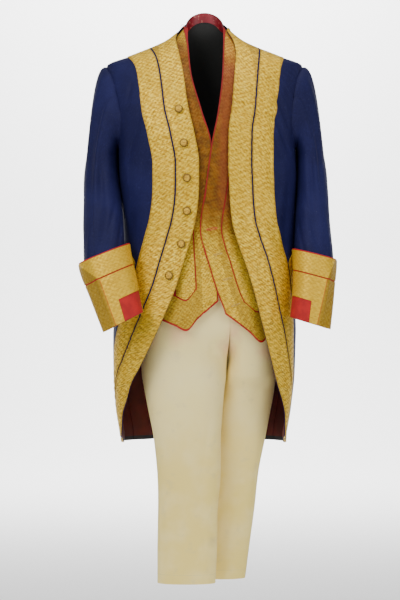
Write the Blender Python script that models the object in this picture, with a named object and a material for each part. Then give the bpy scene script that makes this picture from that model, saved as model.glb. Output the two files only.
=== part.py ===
# Court uniform: an open blue coat with red cuffs, a red waistcoat and cream trousers.
# Units are metres and +Z is up. The front faces -Y, and the wearer's right side is at -X.
# The origin is the middle of the neck base, where the wearer's shoulders carry the garment.
import math

import bmesh
import bpy
import numpy as np
from mathutils import Vector
from mathutils.bvhtree import BVHTree

SEAM_GAP = 0.0003
SLEEVE_GAP = 0.0006
COAT_WALL = 0.002
SLEEVE_WALL = 0.002
CUFF_WALL = 0.002
FLAP_WALL = 0.002
WAISTCOAT_WALL = 0.0018
TROUSER_WALL = 0.0016
LACE_WALL = 0.0012
LINING_WALL = 0.001
BAND_WALL = 0.001
RING_POWER = 2.6
SIDES = {"right": -1, "left": 1}

NECK_CURVE = 1.7
COAT_NECK_BACK = 0.056
COAT_NECK_SIDE = 0.024
SHOULDER_TIP = -0.064
YOKE = -0.140
LACE_WIDTH = 0.053
LACE_SPLIT = 0.004
SHOULDER_FADE = 8
COAT_ROWS = (-0.18, -0.225, -0.268, -0.32, -0.38, -0.44, -0.505, -0.555, -0.608, -0.67, -0.73, -0.79,
             -0.845, -0.895, -0.945)
COAT_ARMHOLE_ROWS = 3
COAT_HEM_DROP = 0.023
COAT_HEM_CORNER = 0.1
YOKE_STEPS = (0, 0.1, 0.25, 0.45, 0.7, 1)

BUTTON_RADIUS = 0.0095
BUTTON_DOME = 0.0055
BUTTON_SHANK = 0.003
BUTTON_SAG = 0.0001
BUTTON_REACH = 0.02

NECK_BAND_DEPTH = 0.023
WAISTCOAT_NECK_BACK = 0.072
WAISTCOAT_NECK_SIDE = 0.031
WAISTCOAT_SHOULDER = 0.165
WAISTCOAT_SHOULDER_TIP = -0.041
WAISTCOAT_LAP = 0.0045
WAISTCOAT_ROWS = (-0.17, -0.21, -0.25, -0.285, -0.35, -0.42)
WAISTCOAT_HEM_STEPS = (0.135, 0.074, 0.070, 0.038, 0.005, 0)
WAISTCOAT_HEM_BACK = -0.56
RED_EDGE = 0.004
WAISTCOAT_LACE = 0.046
WAISTCOAT_SPLIT = 0.003

NECK_LOOP_CENTRE = (-0.0526, -0.0004, 0.0324)
NECK_LOOP_RADIUS = 0.0044
HOOK_RADIUS = 0.0035
HOOK_WIRE = 0.0009

WAISTBAND_TOP = -0.475
WAISTBAND_DEPTH = 0.035
CROTCH_START = -0.68
CROTCH = -0.8
TROUSER_HEM = -1.296


class Table:
    """Named columns over a rising or falling key, read smoothly between the rows."""

    def __init__(self, names, rows):
        data = np.array(sorted(rows), dtype=float)
        self.names = names[1:]
        self.key = data[:, 0]
        self.values = data[:, 1:]
        rise = np.diff(self.values, axis=0) / np.diff(self.key)[:, None]
        together = rise[:-1] * rise[1:]
        total = np.where(together > 0, rise[:-1] + rise[1:], 1)
        self.slope = np.zeros_like(self.values)
        self.slope[0] = rise[0]
        self.slope[-1] = rise[-1]
        self.slope[1:-1] = np.where(together > 0, 2 * together / total, 0)

    def row(self, key):
        key = min(max(key, self.key[0]), self.key[-1])
        low = min(max(int(np.searchsorted(self.key, key)) - 1, 0), len(self.key) - 2)
        span = self.key[low + 1] - self.key[low]
        t = (key - self.key[low]) / span
        start = (1 + 2 * t) * (1 - t) ** 2 * self.values[low]
        end = t * t * (3 - 2 * t) * self.values[low + 1]
        start_slope = t * (1 - t) ** 2 * span * self.slope[low]
        end_slope = t * t * (t - 1) * span * self.slope[low + 1]
        return start + end + start_slope + end_slope

    def at(self, key, name):
        return float(self.row(key)[self.names.index(name)])


# Body rings by height; across is how far the middle of the ring lies towards the wearer's left.
COAT_RING = Table(
    ("height", "half_width", "front_depth", "back_depth", "across"),
    [(0.055, 0.052, 0.004, 0.060, 0), (0.024, 0.060, 0.010, 0.062, 0), (0.010, 0.074, 0.022, 0.070, 0),
     (-0.005, 0.095, 0.034, 0.078, 0), (-0.017, 0.120, 0.044, 0.084, 0), (-0.040, 0.177, 0.060, 0.096, 0),
     (-0.064, 0.234, 0.074, 0.106, 0), (-0.100, 0.230, 0.100, 0.118, 0.001),
     (-0.140, 0.226, 0.120, 0.128, 0.002), (-0.190, 0.222, 0.134, 0.134, 0.004),
     (-0.230, 0.217, 0.140, 0.136, 0.005), (-0.268, 0.2120, 0.142, 0.136, 0.006),
     (-0.320, 0.2125, 0.142, 0.132, 0.008), (-0.400, 0.2075, 0.136, 0.124, 0.010),
     (-0.470, 0.206, 0.136, 0.124, 0.011), (-0.540, 0.209, 0.142, 0.135, 0.008),
     (-0.620, 0.213, 0.150, 0.150, 0.003), (-0.710, 0.219, 0.158, 0.165, -0.001),
     (-0.800, 0.218, 0.160, 0.175, -0.002), (-0.880, 0.211, 0.158, 0.180, -0.003),
     (-0.945, 0.201, 0.155, 0.182, -0.003)])

COAT_EDGE = Table(
    ("height", "right", "left"),
    [(0.020, 0.064, 0.054), (0.010, 0.066, 0.060), (0.000, 0.068, 0.066), (-0.020, 0.065, 0.072),
     (-0.040, 0.060, 0.074), (-0.085, 0.051, 0.071), (-0.120, 0.046, 0.068),
     (-0.169, 0.039, 0.064), (-0.229, 0.025, 0.056), (-0.306, 0.013, 0.055), (-0.352, 0.013, 0.057),
     (-0.394, 0.015, 0.059), (-0.442, 0.022, 0.064), (-0.484, 0.033, 0.075), (-0.540, 0.050, 0.095),
     (-0.601, 0.069, 0.114), (-0.663, 0.095, 0.130), (-0.726, 0.124, 0.146), (-0.782, 0.152, 0.160),
     (-0.820, 0.172, 0.170), (-0.856, 0.182, 0.181), (-0.895, 0.193, 0.189), (-0.945, 0.197, 0.191)])

# Ring angles of the armhole's front and back edge, and of the side seam below it.
COAT_ARMHOLE = Table(
    ("height", "front", "back"),
    [(-0.064, 90, 90), (-0.075, 78, 102), (-0.100, 70, 110), (-0.140, 64, 116), (-0.190, 62, 118),
     (-0.230, 67, 112), (-0.255, 78, 101), (-0.268, 91, 91)])
COAT_SIDE_SEAM = Table(
    ("height", "angle"),
    [(-0.268, 91), (-0.320, 94), (-0.400, 100), (-0.540, 112), (-0.710, 120), (-0.945, 124)])

COAT_CUT = {
    "ring": COAT_RING, "edge": COAT_EDGE, "armhole": COAT_ARMHOLE, "side_seam": COAT_SIDE_SEAM,
    "neck_top": {"right": 0.018, "left": 0.029}, "lace_reach": 0.177, "tip": SHOULDER_TIP, "flank": 0.15}

# Folds of the coat's body: a line from one angle and height to another, raised or sunk.
COAT_FOLDS = (
    # side, top_height, top_angle, low_height, low_angle, width, rise
    ("left", -0.140, 40, -0.215, 58, 0.010, -0.0035),
    ("left", -0.175, 36, -0.275, 62, 0.012, -0.0040),
    ("right", -0.190, 42, -0.300, 60, 0.014, -0.0030),
    ("left", -0.330, 60, -0.520, 56, 0.018, -0.0035),
    ("right", -0.330, 58, -0.520, 60, 0.018, -0.0035),
    ("left", -0.600, 84, -1.000, 88, 0.026, -0.0100),
    ("right", -0.600, 86, -1.000, 92, 0.026, -0.0100),
    ("left", -0.560, 104, -1.000, 108, 0.022, 0.0100),
    ("right", -0.560, 106, -1.000, 109, 0.022, 0.0090),
    ("left", -0.520, 132, -1.000, 139, 0.022, -0.0120),
    ("right", -0.520, 134, -1.000, 140, 0.022, -0.0110),
    ("left", -0.540, 148, -1.000, 156, 0.022, 0.0100),
    ("right", -0.540, 147, -1.000, 155, 0.022, 0.0110),
    ("left", -0.120, 150, -0.300, 138, 0.024, -0.0040),
    ("right", -0.130, 152, -0.300, 136, 0.024, -0.0040),
)

SLEEVE_COLUMNS = ("height", "out", "forward", "half_width", "half_depth", "tilt")
SLEEVES = {
    "right": Table(SLEEVE_COLUMNS, [
        (-0.280, 0.2450, 0.001, 0.0373, 0.070, 1), (-0.325, 0.2459, 0.012, 0.0407, 0.067, 4),
        (-0.384, 0.2430, 0.034, 0.0450, 0.064, 8), (-0.452, 0.2400, 0.080, 0.0500, 0.060, 15),
        (-0.517, 0.2350, 0.120, 0.0520, 0.054, 22), (-0.595, 0.2120, 0.152, 0.0500, 0.046, 25),
        (-0.675, 0.1875, 0.178, 0.0480, 0.040, 27)]),
    "left": Table(SLEEVE_COLUMNS, [
        (-0.280, 0.2530, 0.000, 0.0324, 0.070, 0), (-0.330, 0.2566, 0.009, 0.0351, 0.069, 2),
        (-0.384, 0.2582, 0.020, 0.0391, 0.067, 3), (-0.452, 0.2585, 0.046, 0.0435, 0.062, 8),
        (-0.517, 0.2595, 0.072, 0.0465, 0.053, 14), (-0.595, 0.2560, 0.095, 0.0440, 0.046, 16),
        (-0.678, 0.2465, 0.117, 0.0460, 0.040, 17)]),
}
SLEEVE_POWER = 2.2
CAP_STEPS = (0.05, 0.13, 0.26, 0.43, 0.62, 0.82, 1)
CAP_SPREAD = 0.35
UNDERARM_LIFT = 0.004
SLEEVE_ROWS = 9
SLEEVE_FRONT_SEAM = 5
SLEEVE_BACK_SEAM = 12

# Folds of the sleeves: an angle round the tube, raised or sunk between two heights.
SLEEVE_FOLDS = (
    # side, top_height, low_height, top_angle, low_angle, width, rise
    ("right", -0.120, -0.420, 42, 58, 13, -0.0060),
    ("right", -0.260, -0.540, 100, 74, 14, -0.0070),
    ("right", -0.300, -0.560, -20, 20, 14, -0.0050),
    ("right", -0.150, -0.480, -80, -60, 16, -0.0060),
    ("left", -0.120, -0.400, 46, 66, 13, -0.0060),
    ("left", -0.240, -0.520, 104, 84, 14, -0.0065),
    ("left", -0.290, -0.560, -10, 28, 14, -0.0050),
    ("left", -0.160, -0.470, -84, -64, 16, -0.0060),
)

CUFF_HEIGHT = {"right": 0.160, "left": 0.163}
CUFF_FLARE = {"right": 0.0100, "left": 0.0045}
CUFF_STEPS = (0, 0.30, 0.66, 0.70, 0.97, 1)
CUFF_BARE_COLUMNS = (6, 7)
CUFF_EASE = 0.0009

WAISTCOAT_RING = Table(
    ("height", "half_width", "front_depth", "back_depth", "across"),
    [(0.070, 0.043, 0.003, 0.048, 0), (0.031, 0.047, 0.004, 0.051, 0), (0.018, 0.055, 0.010, 0.054, 0),
     (0.005, 0.069, 0.018, 0.060, 0), (-0.005, 0.084, 0.025, 0.066, 0),
     (-0.017, 0.1075, 0.035, 0.073, 0), (-0.040, 0.1645, 0.051, 0.085, 0),
     (-0.064, 0.216, 0.063, 0.095, 0), (-0.100, 0.216, 0.088, 0.107, 0), (-0.140, 0.211, 0.107, 0.117, 0),
     (-0.190, 0.206, 0.122, 0.124, 0), (-0.230, 0.199, 0.128, 0.126, 0), (-0.268, 0.193, 0.130, 0.127, 0),
     (-0.320, 0.185, 0.129, 0.122, 0), (-0.400, 0.176, 0.120, 0.112, 0), (-0.470, 0.173, 0.117, 0.110, 0),
     (-0.540, 0.176, 0.120, 0.117, 0), (-0.620, 0.186, 0.127, 0.127, 0), (-0.730, 0.196, 0.131, 0.140, 0)])

WAISTCOAT_EDGE = Table(
    ("height", "right", "left"),
    [(0.000, 0.040, 0.045), (-0.084, 0.032, 0.042), (-0.182, 0.006, 0.031), (-0.259, -0.016, 0.016),
     (-0.360, -0.022, 0.002), (-0.460, -0.024, -0.011), (-0.510, -0.026, -0.001),
     (-0.538, -0.028, 0.008), (-0.603, -0.031, 0.028), (-0.657, -0.033, 0.048),
     (-0.730, -0.034, 0.060)])

WAISTCOAT_ARMHOLE = Table(
    ("height", "front", "back"),
    [(-0.041, 90, 90), (-0.052, 66, 99), (-0.070, 52, 112), (-0.100, 44, 126), (-0.140, 43, 136),
     (-0.190, 46, 133), (-0.230, 55, 124), (-0.260, 71, 108), (-0.285, 92, 92)])
WAISTCOAT_SIDE_SEAM = Table(("height", "angle"), [(-0.285, 92), (-0.400, 94), (-0.600, 96)])

WAISTCOAT_CUT = {
    "ring": WAISTCOAT_RING, "edge": WAISTCOAT_EDGE, "armhole": WAISTCOAT_ARMHOLE,
    "side_seam": WAISTCOAT_SIDE_SEAM, "neck_top": {"right": 0.031, "left": 0.031}, "lace_reach": 0.144,
    "tip": WAISTCOAT_SHOULDER_TIP, "flank": 0.15}

# Height of the waistcoat's hem by the distance round from its front edge; the lowest is a point.
WAISTCOAT_HEM = {
    "right": Table(("distance", "height"), [(0, -0.627), (0.05, -0.670), (0.076, -0.697), (0.119, -0.672),
                                            (0.249, -0.600)]),
    "left": Table(("distance", "height"), [(0, -0.657), (0.05, -0.700), (0.076, -0.724), (0.100, -0.704),
                                           (0.249, -0.600)]),
}

TROUSER_RING = Table(
    ("height", "half_width", "front_depth", "back_depth", "across"),
    [(-0.475, 0.1680, 0.1125, 0.1045, 0.0), (-0.510, 0.1670, 0.1110, 0.105, 0.0),
     (-0.560, 0.1660, 0.1100, 0.1080, 0.002), (-0.620, 0.1660, 0.110, 0.116, 0.006),
     (-0.700, 0.1640, 0.1080, 0.1220, 0.009), (-0.800, 0.1610, 0.102, 0.118, 0.009)])

TROUSER_FLY = Table(("height", "across"), [(-0.475, 0.058), (-0.6, 0.060), (-0.711, 0.060), (-0.8, 0.054)])

LEG_COLUMNS = ("height", "across", "forward", "half_width", "half_depth")
LEGS = {
    "right": Table(LEG_COLUMNS, [
        (-0.715, -0.0500, 0.012, 0.1030, 0.100), (-0.800, -0.0490, 0.016, 0.1010, 0.090),
        (-0.840, -0.0480, 0.032, 0.0950, 0.076), (-0.876, -0.0460, 0.037, 0.0900, 0.067),
        (-0.954, -0.0410, 0.037, 0.0800, 0.056),
        (-1.048, -0.0370, 0.038, 0.0750, 0.046), (-1.131, -0.0400, 0.038, 0.0710, 0.041),
        (-1.204, -0.0410, 0.038, 0.0710, 0.038), (-1.296, -0.0430, 0.038, 0.0690, 0.036)]),
    "left": Table(LEG_COLUMNS, [
        (-0.715, 0.1150, -0.015, 0.0560, 0.100), (-0.800, 0.1110, -0.022, 0.0605, 0.088),
        (-0.840, 0.1050, -0.044, 0.0640, 0.076), (-0.876, 0.0950, -0.047, 0.0680, 0.067),
        (-0.954, 0.0830, -0.048, 0.0650, 0.056),
        (-1.048, 0.0690, -0.048, 0.0610, 0.046), (-1.131, 0.0600, -0.048, 0.0610, 0.042),
        (-1.204, 0.0500, -0.048, 0.0610, 0.040), (-1.296, 0.0380, -0.048, 0.0610, 0.038)]),
}
LEG_POWER = 2.3
TROUSER_ROWS = (WAISTBAND_TOP - WAISTBAND_DEPTH - SEAM_GAP, -0.6, -0.67, -0.715, -0.74, -0.77, CROTCH,
                -0.84, -0.89, -0.945, -1.0, -1.06, -1.13, -1.2, -1.25, TROUSER_HEM)
PANEL_COLUMNS = 7

COLOURS = {
    "blue": (0.020, 0.021, 0.078), "gold": (0.60, 0.42, 0.09), "red": (0.66, 0.035, 0.02),
    "crimson": (0.42, 0.014, 0.035), "lining": (0.12, 0.008, 0.010), "black": (0.012, 0.011, 0.012),
    "cream": (0.78, 0.69, 0.47), "steel": (0.25, 0.25, 0.26)}
ROUGHNESS = {"blue": 0.55, "gold": 0.42, "red": 0.75, "crimson": 0.5, "lining": 0.6, "black": 0.6,
             "cream": 0.85, "steel": 0.35}
METALLIC = {"gold": 0.6, "steel": 1.0}


def clear_scene():
    for thing in list(bpy.data.objects):
        bpy.data.objects.remove(thing, do_unlink=True)


def finish_object(name, bm, colour, smooth=True):
    bmesh.ops.recalc_face_normals(bm, faces=bm.faces[:])
    mesh = bpy.data.meshes.new(name)
    bm.to_mesh(mesh)
    bm.free()
    if smooth:
        mesh.shade_smooth()
        mesh.set_sharp_from_angle(angle=math.radians(40))
    material = bpy.data.materials.new(name + "_cloth")
    material.use_nodes = True
    shader = material.node_tree.nodes["Principled BSDF"]
    shader.inputs["Base Color"].default_value = COLOURS[colour] + (1,)
    shader.inputs["Roughness"].default_value = ROUGHNESS[colour]
    shader.inputs["Metallic"].default_value = METALLIC.get(colour, 0)
    mesh.materials.append(material)
    thing = bpy.data.objects.new(name, mesh)
    bpy.context.scene.collection.objects.link(thing)
    return thing


def shell(name, outer, inner, colour, keep=None):
    """A closed wall between two grids of points, of all their cells or of those in keep."""
    rows, columns = outer.shape[:2]
    cells = [(i, j) for i in range(rows - 1) for j in range(columns - 1) if keep is None or keep(i, j)]
    bm = bmesh.new()
    made = {}

    def corner(layer, i, j):
        if (layer, i, j) not in made:
            made[layer, i, j] = bm.verts.new((outer, inner)[layer][i, j])
        return made[layer, i, j]

    sides = set()
    for i, j in cells:
        ring = ((i, j), (i + 1, j), (i + 1, j + 1), (i, j + 1))
        sides.update(zip(ring, ring[1:] + ring[:1]))
        for layer in (0, 1):
            a, b, c, d = (corner(layer, *place) for place in ring)
            bm.faces.new((a, b, c))
            bm.faces.new((a, c, d))
    for start, end in sorted(sides):
        if (end, start) not in sides:
            bm.faces.new((corner(0, *start), corner(0, *end), corner(1, *end), corner(1, *start)))
    return finish_object(name, bm, colour)


def trim(points, top=False, bottom=False, first=False, last=False):
    """Move the named edges of a grid inwards by half a seam's gap."""
    moved = points.copy()
    for wanted, edge, inside in ((top, np.s_[0], np.s_[1]), (bottom, np.s_[-1], np.s_[-2]),
                                 (first, np.s_[:, 0], np.s_[:, 1]), (last, np.s_[:, -1], np.s_[:, -2])):
        if wanted:
            step = points[inside] - points[edge]
            step /= np.linalg.norm(step, axis=-1, keepdims=True)
            moved[edge] = moved[edge] + step * SEAM_GAP / 2
    return moved


def ease(low, high, value):
    t = min(max((value - low) / (high - low), 0), 1)
    return t * t * (3 - 2 * t)


def signed_power(value, power):
    return math.copysign(abs(value) ** power, value)


def ring_point(ring, side, angle, height):
    """A point on a body ring: angle 0 is the centre front and 90 degrees the side."""
    half, front, back, across = ring.row(height)
    turn = math.radians(angle)
    depth = front if math.cos(turn) >= 0 else back
    out = half * signed_power(math.sin(turn), 2 / RING_POWER)
    forward = depth * signed_power(math.cos(turn), 2 / RING_POWER)
    return np.array((SIDES[side] * out + across, -forward, height))


def angle_at(ring, side, distance, height):
    """The ring angle at a distance from the middle plane, on the given side."""
    out = distance - SIDES[side] * ring.at(height, "across")
    part = min(max(out / ring.at(height, "half_width"), -1), 1)
    return math.degrees(math.asin(signed_power(part, RING_POWER / 2)))


def height_at(ring, half_width):
    """The height where the shoulder line of a ring table reaches a half width."""
    heights = np.linspace(0.03, -0.07, 201)
    halves = [ring.at(height, "half_width") for height in heights]
    return float(np.interp(half_width, halves, heights))


def angle_along(ring, start, distance, height):
    """The ring angle at a distance round the ring from a start angle."""
    angles = np.linspace(start, 150, 160)
    points = np.array([ring_point(ring, "left", angle, height) for angle in angles])
    steps = np.linalg.norm(np.diff(points, axis=0), axis=1)
    travelled = np.concatenate(([0], np.cumsum(steps)))
    return float(np.interp(distance, travelled, angles))


def fold_rise(side, angle, height):
    total = 0
    for fold_side, top, top_angle, low, low_angle, width, rise in COAT_FOLDS:
        if fold_side != side:
            continue
        along = (top - height) / (top - low)
        middle = top_angle + (low_angle - top_angle) * along
        across = math.radians(angle - middle) * 0.17 / width
        fade = ease(0, 0.3, along) * ease(1.15, 0.85, along)
        total += rise * fade * math.exp(-across * across)
    return total


def coat_point(side, angle, height):
    place = ring_point(COAT_RING, side, angle, height)
    outward = place * (1, 1, 0)
    outward /= max(np.linalg.norm(outward), 1e-6)
    return place + outward * fold_rise(side, angle, height)


def waistcoat_point(side, angle, height):
    place = ring_point(WAISTCOAT_RING, side, angle, height)
    if side == "left":
        lap = WAISTCOAT_LAP * ease(0.10, 0.045, place[0]) * ease(-0.16, -0.25, height)
        place = place + np.array((0, -lap, 0))
    return place


def surface_grid(surface, side, angles, heights):
    """Points and outward normals of a surface at a grid of angles and heights."""
    points = np.zeros(angles.shape + (3,))
    normals = np.zeros_like(points)
    for place in np.ndindex(angles.shape):
        angle, height = angles[place], heights[place]
        points[place] = surface(side, angle, height)
        round_way = surface(side, angle + 0.1, height) - surface(side, angle - 0.1, height)
        up_way = surface(side, angle, height + 0.0005) - surface(side, angle, height - 0.0005)
        normal = np.cross(round_way, up_way) * SIDES[side]
        normals[place] = normal / np.linalg.norm(normal)
    return points, normals


def grid_normals(points, closed):
    """Outward normals of a tube's own grid, its columns running round the tube."""
    if closed:
        round_way = np.roll(points, -1, axis=1) - np.roll(points, 1, axis=1)
    else:
        round_way = np.gradient(points, axis=1)
    down_way = np.gradient(points, axis=0)
    normals = np.cross(round_way, down_way)
    normals /= np.linalg.norm(normals, axis=-1, keepdims=True)
    middle = points.mean(axis=1, keepdims=True)
    if np.sum(normals * (points - middle)) < 0:
        normals = -normals
    return normals


def seam_angle(cut, height, face):
    """The ring angle where a front or back ends: at the armhole, or below it at the side seam."""
    if height > cut["side_seam"].key[-1]:
        return cut["armhole"].at(height, face)
    return cut["side_seam"].at(height, "angle")


def edge_angle(cut, side, offset, height):
    """The ring angle at a distance from the front edge, measured square to that edge."""
    edge = cut["edge"]
    start = angle_at(cut["ring"], side, edge.at(height, side), height)
    slope = (edge.at(height + 0.01, side) - edge.at(height - 0.01, side)) / 0.02
    lean = math.hypot(1, slope) if height < YOKE else 1
    return angle_along(cut["ring"], start, offset * lean, height)


def yoke_column(cut, side, offset, width):
    """Angles and heights from the shoulder seam to the yoke line, at a distance from the edge."""
    ring, neck_top = cut["ring"], cut["neck_top"][side]
    neck_x = ring.at(neck_top, "half_width")
    top = neck_top
    stretch = 1
    if offset > 0:
        top = height_at(ring, neck_x + (cut["lace_reach"] - neck_x) * offset / width)
        start = angle_at(ring, side, cut["edge"].at(top, side), top)
        flank = [ring_point(ring, side, angle, top) for angle in np.linspace(start, 90, 60)]
        stretch = np.sum(np.linalg.norm(np.diff(flank, axis=0), axis=1)) / offset
    column = [(90, top)]
    for step in YOKE_STEPS[1:]:
        height = top + (YOKE - top) * step
        distance = offset * (1 + (stretch - 1) * (1 - step) ** SHOULDER_FADE)
        column.append((edge_angle(cut, side, distance, height), height))
    return np.array(column)


def front_grid(cut, side, offsets, spread, row_heights):
    """Angles and heights of a front: columns beside its edge, then columns spread to the side."""
    tip = cut["tip"]
    heights = [tip + (YOKE - tip) * step for step in YOKE_STEPS]
    armhole = np.array([(seam_angle(cut, height, "front"), height) for height in heights])
    columns = []
    for k in range(len(offsets) + spread):
        offset = offsets[min(k, len(offsets) - 1)]
        share = max(k - len(offsets) + 1, 0) / spread
        line = yoke_column(cut, side, offset, offsets[-1])
        line = line + (armhole - line) * share
        below = []
        for height in row_heights(offset + share * cut["flank"]):
            angle = edge_angle(cut, side, offset, height)
            below.append((angle + (seam_angle(cut, height, "front") - angle) * share, height))
        columns.append(np.concatenate((line, below)))
    grid = np.array(columns).transpose(1, 0, 2)
    return grid[..., 0], grid[..., 1]


def back_grid(cut, neck, counts, reach, rows, steps=YOKE_STEPS):
    """Angles and heights of half a back, from its centre to the armhole and side seam."""
    ring, tip = cut["ring"], cut["tip"]
    neck_side, neck_back = neck
    neck_columns, shoulder_columns = counts
    tops = []
    for k in range(neck_columns + 1):
        part = k / neck_columns
        tops.append((180 - 90 * part, neck_back - (neck_back - neck_side) * part ** NECK_CURVE))
    neck_x = ring.at(neck_side, "half_width")
    for k in range(1, shoulder_columns):
        tops.append((90, height_at(ring, neck_x + (reach - neck_x) * k / shoulder_columns)))
    tops.append((90, tip))
    columns = []
    for k, (top_angle, top) in enumerate(tops):
        part = k / (len(tops) - 1)
        low_angle = 180 + (seam_angle(cut, YOKE, "back") - 180) * part
        line = []
        for step in steps:
            bend = step ** 0.6
            level = 90 + (seam_angle(cut, YOKE, "back") - 90) * bend
            away = seam_angle(cut, tip + (YOKE - tip) * step, "back") - level
            line.append((top_angle + (low_angle - top_angle) * bend + away * part ** 4,
                         top + (YOKE - top) * step))
        for height in rows:
            line.append((180 + (seam_angle(cut, height, "back") - 180) * part, height))
        columns.append(line)
    grid = np.array(columns).transpose(1, 0, 2)
    return grid[..., 0], grid[..., 1]


def walls(points, normals, thickness, lift=0):
    return points + normals * (lift + thickness), points + normals * lift


def lace_offsets(width, split, start=0.0, segments=3):
    """Distances from a front edge of the columns of two lace rows and their split."""
    inner = [start + width * k / segments for k in range(segments + 1)]
    outer = [inner[-1] + split + width * k / segments for k in range(segments + 1)]
    return inner, outer


def trim_shoulder(wall, source, columns):
    """Move a back's shoulder seam away from the front by half a seam's gap."""
    step = source[1][columns] - source[0][columns]
    step /= np.linalg.norm(step, axis=-1, keepdims=True)
    wall[0][columns] += step * SEAM_GAP / 2


def coat_row_heights(distance):
    """Row heights of the coat below its yoke; the hem drops behind its front corner."""
    return COAT_ROWS[:-1] + (COAT_ROWS[-1] - COAT_HEM_DROP * ease(0, COAT_HEM_CORNER, distance),)


def build_coat_front(side):
    """A coat front with its two lace rows, facing and pocket flap; returns its outer and inner grid."""
    inner, outer = lace_offsets(LACE_WIDTH, LACE_SPLIT)
    angles, heights = front_grid(COAT_CUT, side, inner + outer, 6, coat_row_heights)
    points, normals = surface_grid(coat_point, side, angles, heights)
    inside = points - normals * COAT_WALL
    shell("coat_front_" + side, trim(points, top=True, last=True), trim(inside, top=True, last=True),
          "blue")

    lace, base = (trim(layer, top=True) for layer in walls(points, normals, LACE_WALL, SEAM_GAP))
    shell("coat_lace_edge_" + side, lace, base, "gold", lambda i, j: j < 3)
    shell("coat_lace_inner_" + side, lace, base, "gold", lambda i, j: 4 <= j < 7)

    facing, base = (trim(layer, top=True) for layer in walls(inside, -normals, LINING_WALL, SEAM_GAP))
    shell("coat_facing_" + side, facing, base, "crimson", lambda i, j: j < 1 and 1 <= i < 9)

    block = np.s_[12:15, 7:12]
    flap, base = (trim(trim(layer[block], first=True), first=True)
                  for layer in walls(points, normals, FLAP_WALL, SEAM_GAP))
    shell("pocket_flap_" + side, flap, base, "gold")
    return points, inside


def build_coat_back(side):
    """Half of the coat's back with the lining of its skirt; returns its outer and inner grid."""
    angles, heights = back_grid(COAT_CUT, (COAT_NECK_SIDE, COAT_NECK_BACK), (4, 5),
                                COAT_RING.at(SHOULDER_TIP, "half_width"), coat_row_heights(COAT_HEM_CORNER))
    points, normals = surface_grid(coat_point, side, angles, heights)
    inside = points - normals * COAT_WALL
    wall, inner_wall = trim(points, first=True, last=True), trim(inside, first=True, last=True)
    trim_shoulder(wall, points, np.s_[4:])
    trim_shoulder(inner_wall, inside, np.s_[4:])
    shell("coat_back_" + side, wall, inner_wall, "blue")
    lining, base = (trim(layer, first=True, last=True)
                    for layer in walls(inside, -normals, LINING_WALL, SEAM_GAP))
    shell("skirt_lining_" + side, lining, base, "lining", lambda i, j: i >= 15)
    return points, inside


def build_coat_body():
    """Both sides of the coat's body; returns the outer and inner edges of each armhole."""
    armholes = {}
    last = len(YOKE_STEPS) + COAT_ARMHOLE_ROWS
    for side in SIDES:
        panels = build_coat_front(side), build_coat_back(side)
        armholes[side] = [(outer[:last, -1], inner[:last, -1]) for outer, inner in panels]
    return armholes


def sleeve_section(side, key, angle, grow_width=0.0, grow_depth=0.0):
    """A point of the sleeve tube: angle 0 faces out, 90 degrees the front and 180 the body."""
    height, (out, forward, half, depth, tilt) = key, SLEEVES[side].row(key)
    turn = math.radians(angle)
    fold = 0
    for fold_side, top, low, top_angle, low_angle, width, rise in SLEEVE_FOLDS:
        if fold_side == side:
            along = (top - height) / (top - low)
            middle = top_angle + (low_angle - top_angle) * along
            away = (angle - middle + 180) % 360 - 180
            fade = ease(0, 0.3, along) * ease(1, 0.7, along)
            fold += rise * fade * math.exp(-(away / width) ** 2)
    reach = (half + grow_width + fold) * signed_power(math.cos(turn), 2 / SLEEVE_POWER)
    front = (depth + grow_depth + fold) * signed_power(math.sin(turn), 2 / SLEEVE_POWER)
    lean = math.radians(tilt)
    return np.array((SIDES[side] * (out + reach * math.cos(lean)), -forward - front,
                     height - reach * math.sin(lean)))


def sleeve_angles(loop):
    """Angles round the sleeve that share out its girth as the armhole's points do."""
    lengths = np.linalg.norm(np.roll(loop, -1, axis=0) - loop, axis=1)
    half = len(loop) // 2
    front = np.concatenate(([0], np.cumsum(lengths[:half]))) / np.sum(lengths[:half]) * 180
    back = np.concatenate(([0], np.cumsum(lengths[half:]))) / np.sum(lengths[half:]) * 180 + 180
    return np.concatenate((front[:-1], back[:-1]))


def build_sleeve(side, armhole):
    (front, front_inside), (back, back_inside) = armhole
    loop = np.concatenate((front, back[-2:0:-1]))
    loop_inside = np.concatenate((front_inside, back_inside[-2:0:-1]))
    angles = sleeve_angles(loop)
    table = SLEEVES[side]
    first, last = table.key[-1], table.key[0]
    cap_end = np.array([sleeve_section(side, first, angle) for angle in angles])
    centre = loop.mean(axis=0)
    into = centre - loop
    edge_normal = loop - loop_inside
    edge_normal /= np.linalg.norm(edge_normal, axis=-1, keepdims=True)
    into -= np.sum(into * edge_normal, axis=-1, keepdims=True) * edge_normal
    into /= np.linalg.norm(into, axis=-1, keepdims=True)
    rows = [loop + into * SLEEVE_GAP]
    for step in CAP_STEPS:
        spread = step ** CAP_SPREAD
        lift = into * np.maximum(into[:, 2:], 0) * UNDERARM_LIFT * (1 - step) ** 2
        rows.append(loop + (cap_end - loop) * (spread, spread, step) + lift)
    for k in range(1, SLEEVE_ROWS + 1):
        key = first + (last - first) * k / SLEEVE_ROWS
        rows.append(np.array([sleeve_section(side, key, angle) for angle in angles]))
    points = np.array(rows)
    inside = points - grid_normals(points, True) * SLEEVE_WALL
    inside[0] = loop_inside + into * SLEEVE_GAP
    count = len(angles)
    under = np.arange(SLEEVE_FRONT_SEAM, SLEEVE_BACK_SEAM + 1)
    top = np.arange(SLEEVE_BACK_SEAM, SLEEVE_FRONT_SEAM + count + 1) % count
    for name, columns in (("top_sleeve_", top), ("under_sleeve_", under)):
        wall = [trim(layer[:, columns], first=True, last=True) for layer in (points, inside)]
        shell(name + side, wall[0], wall[1], "blue")
    return angles


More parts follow.
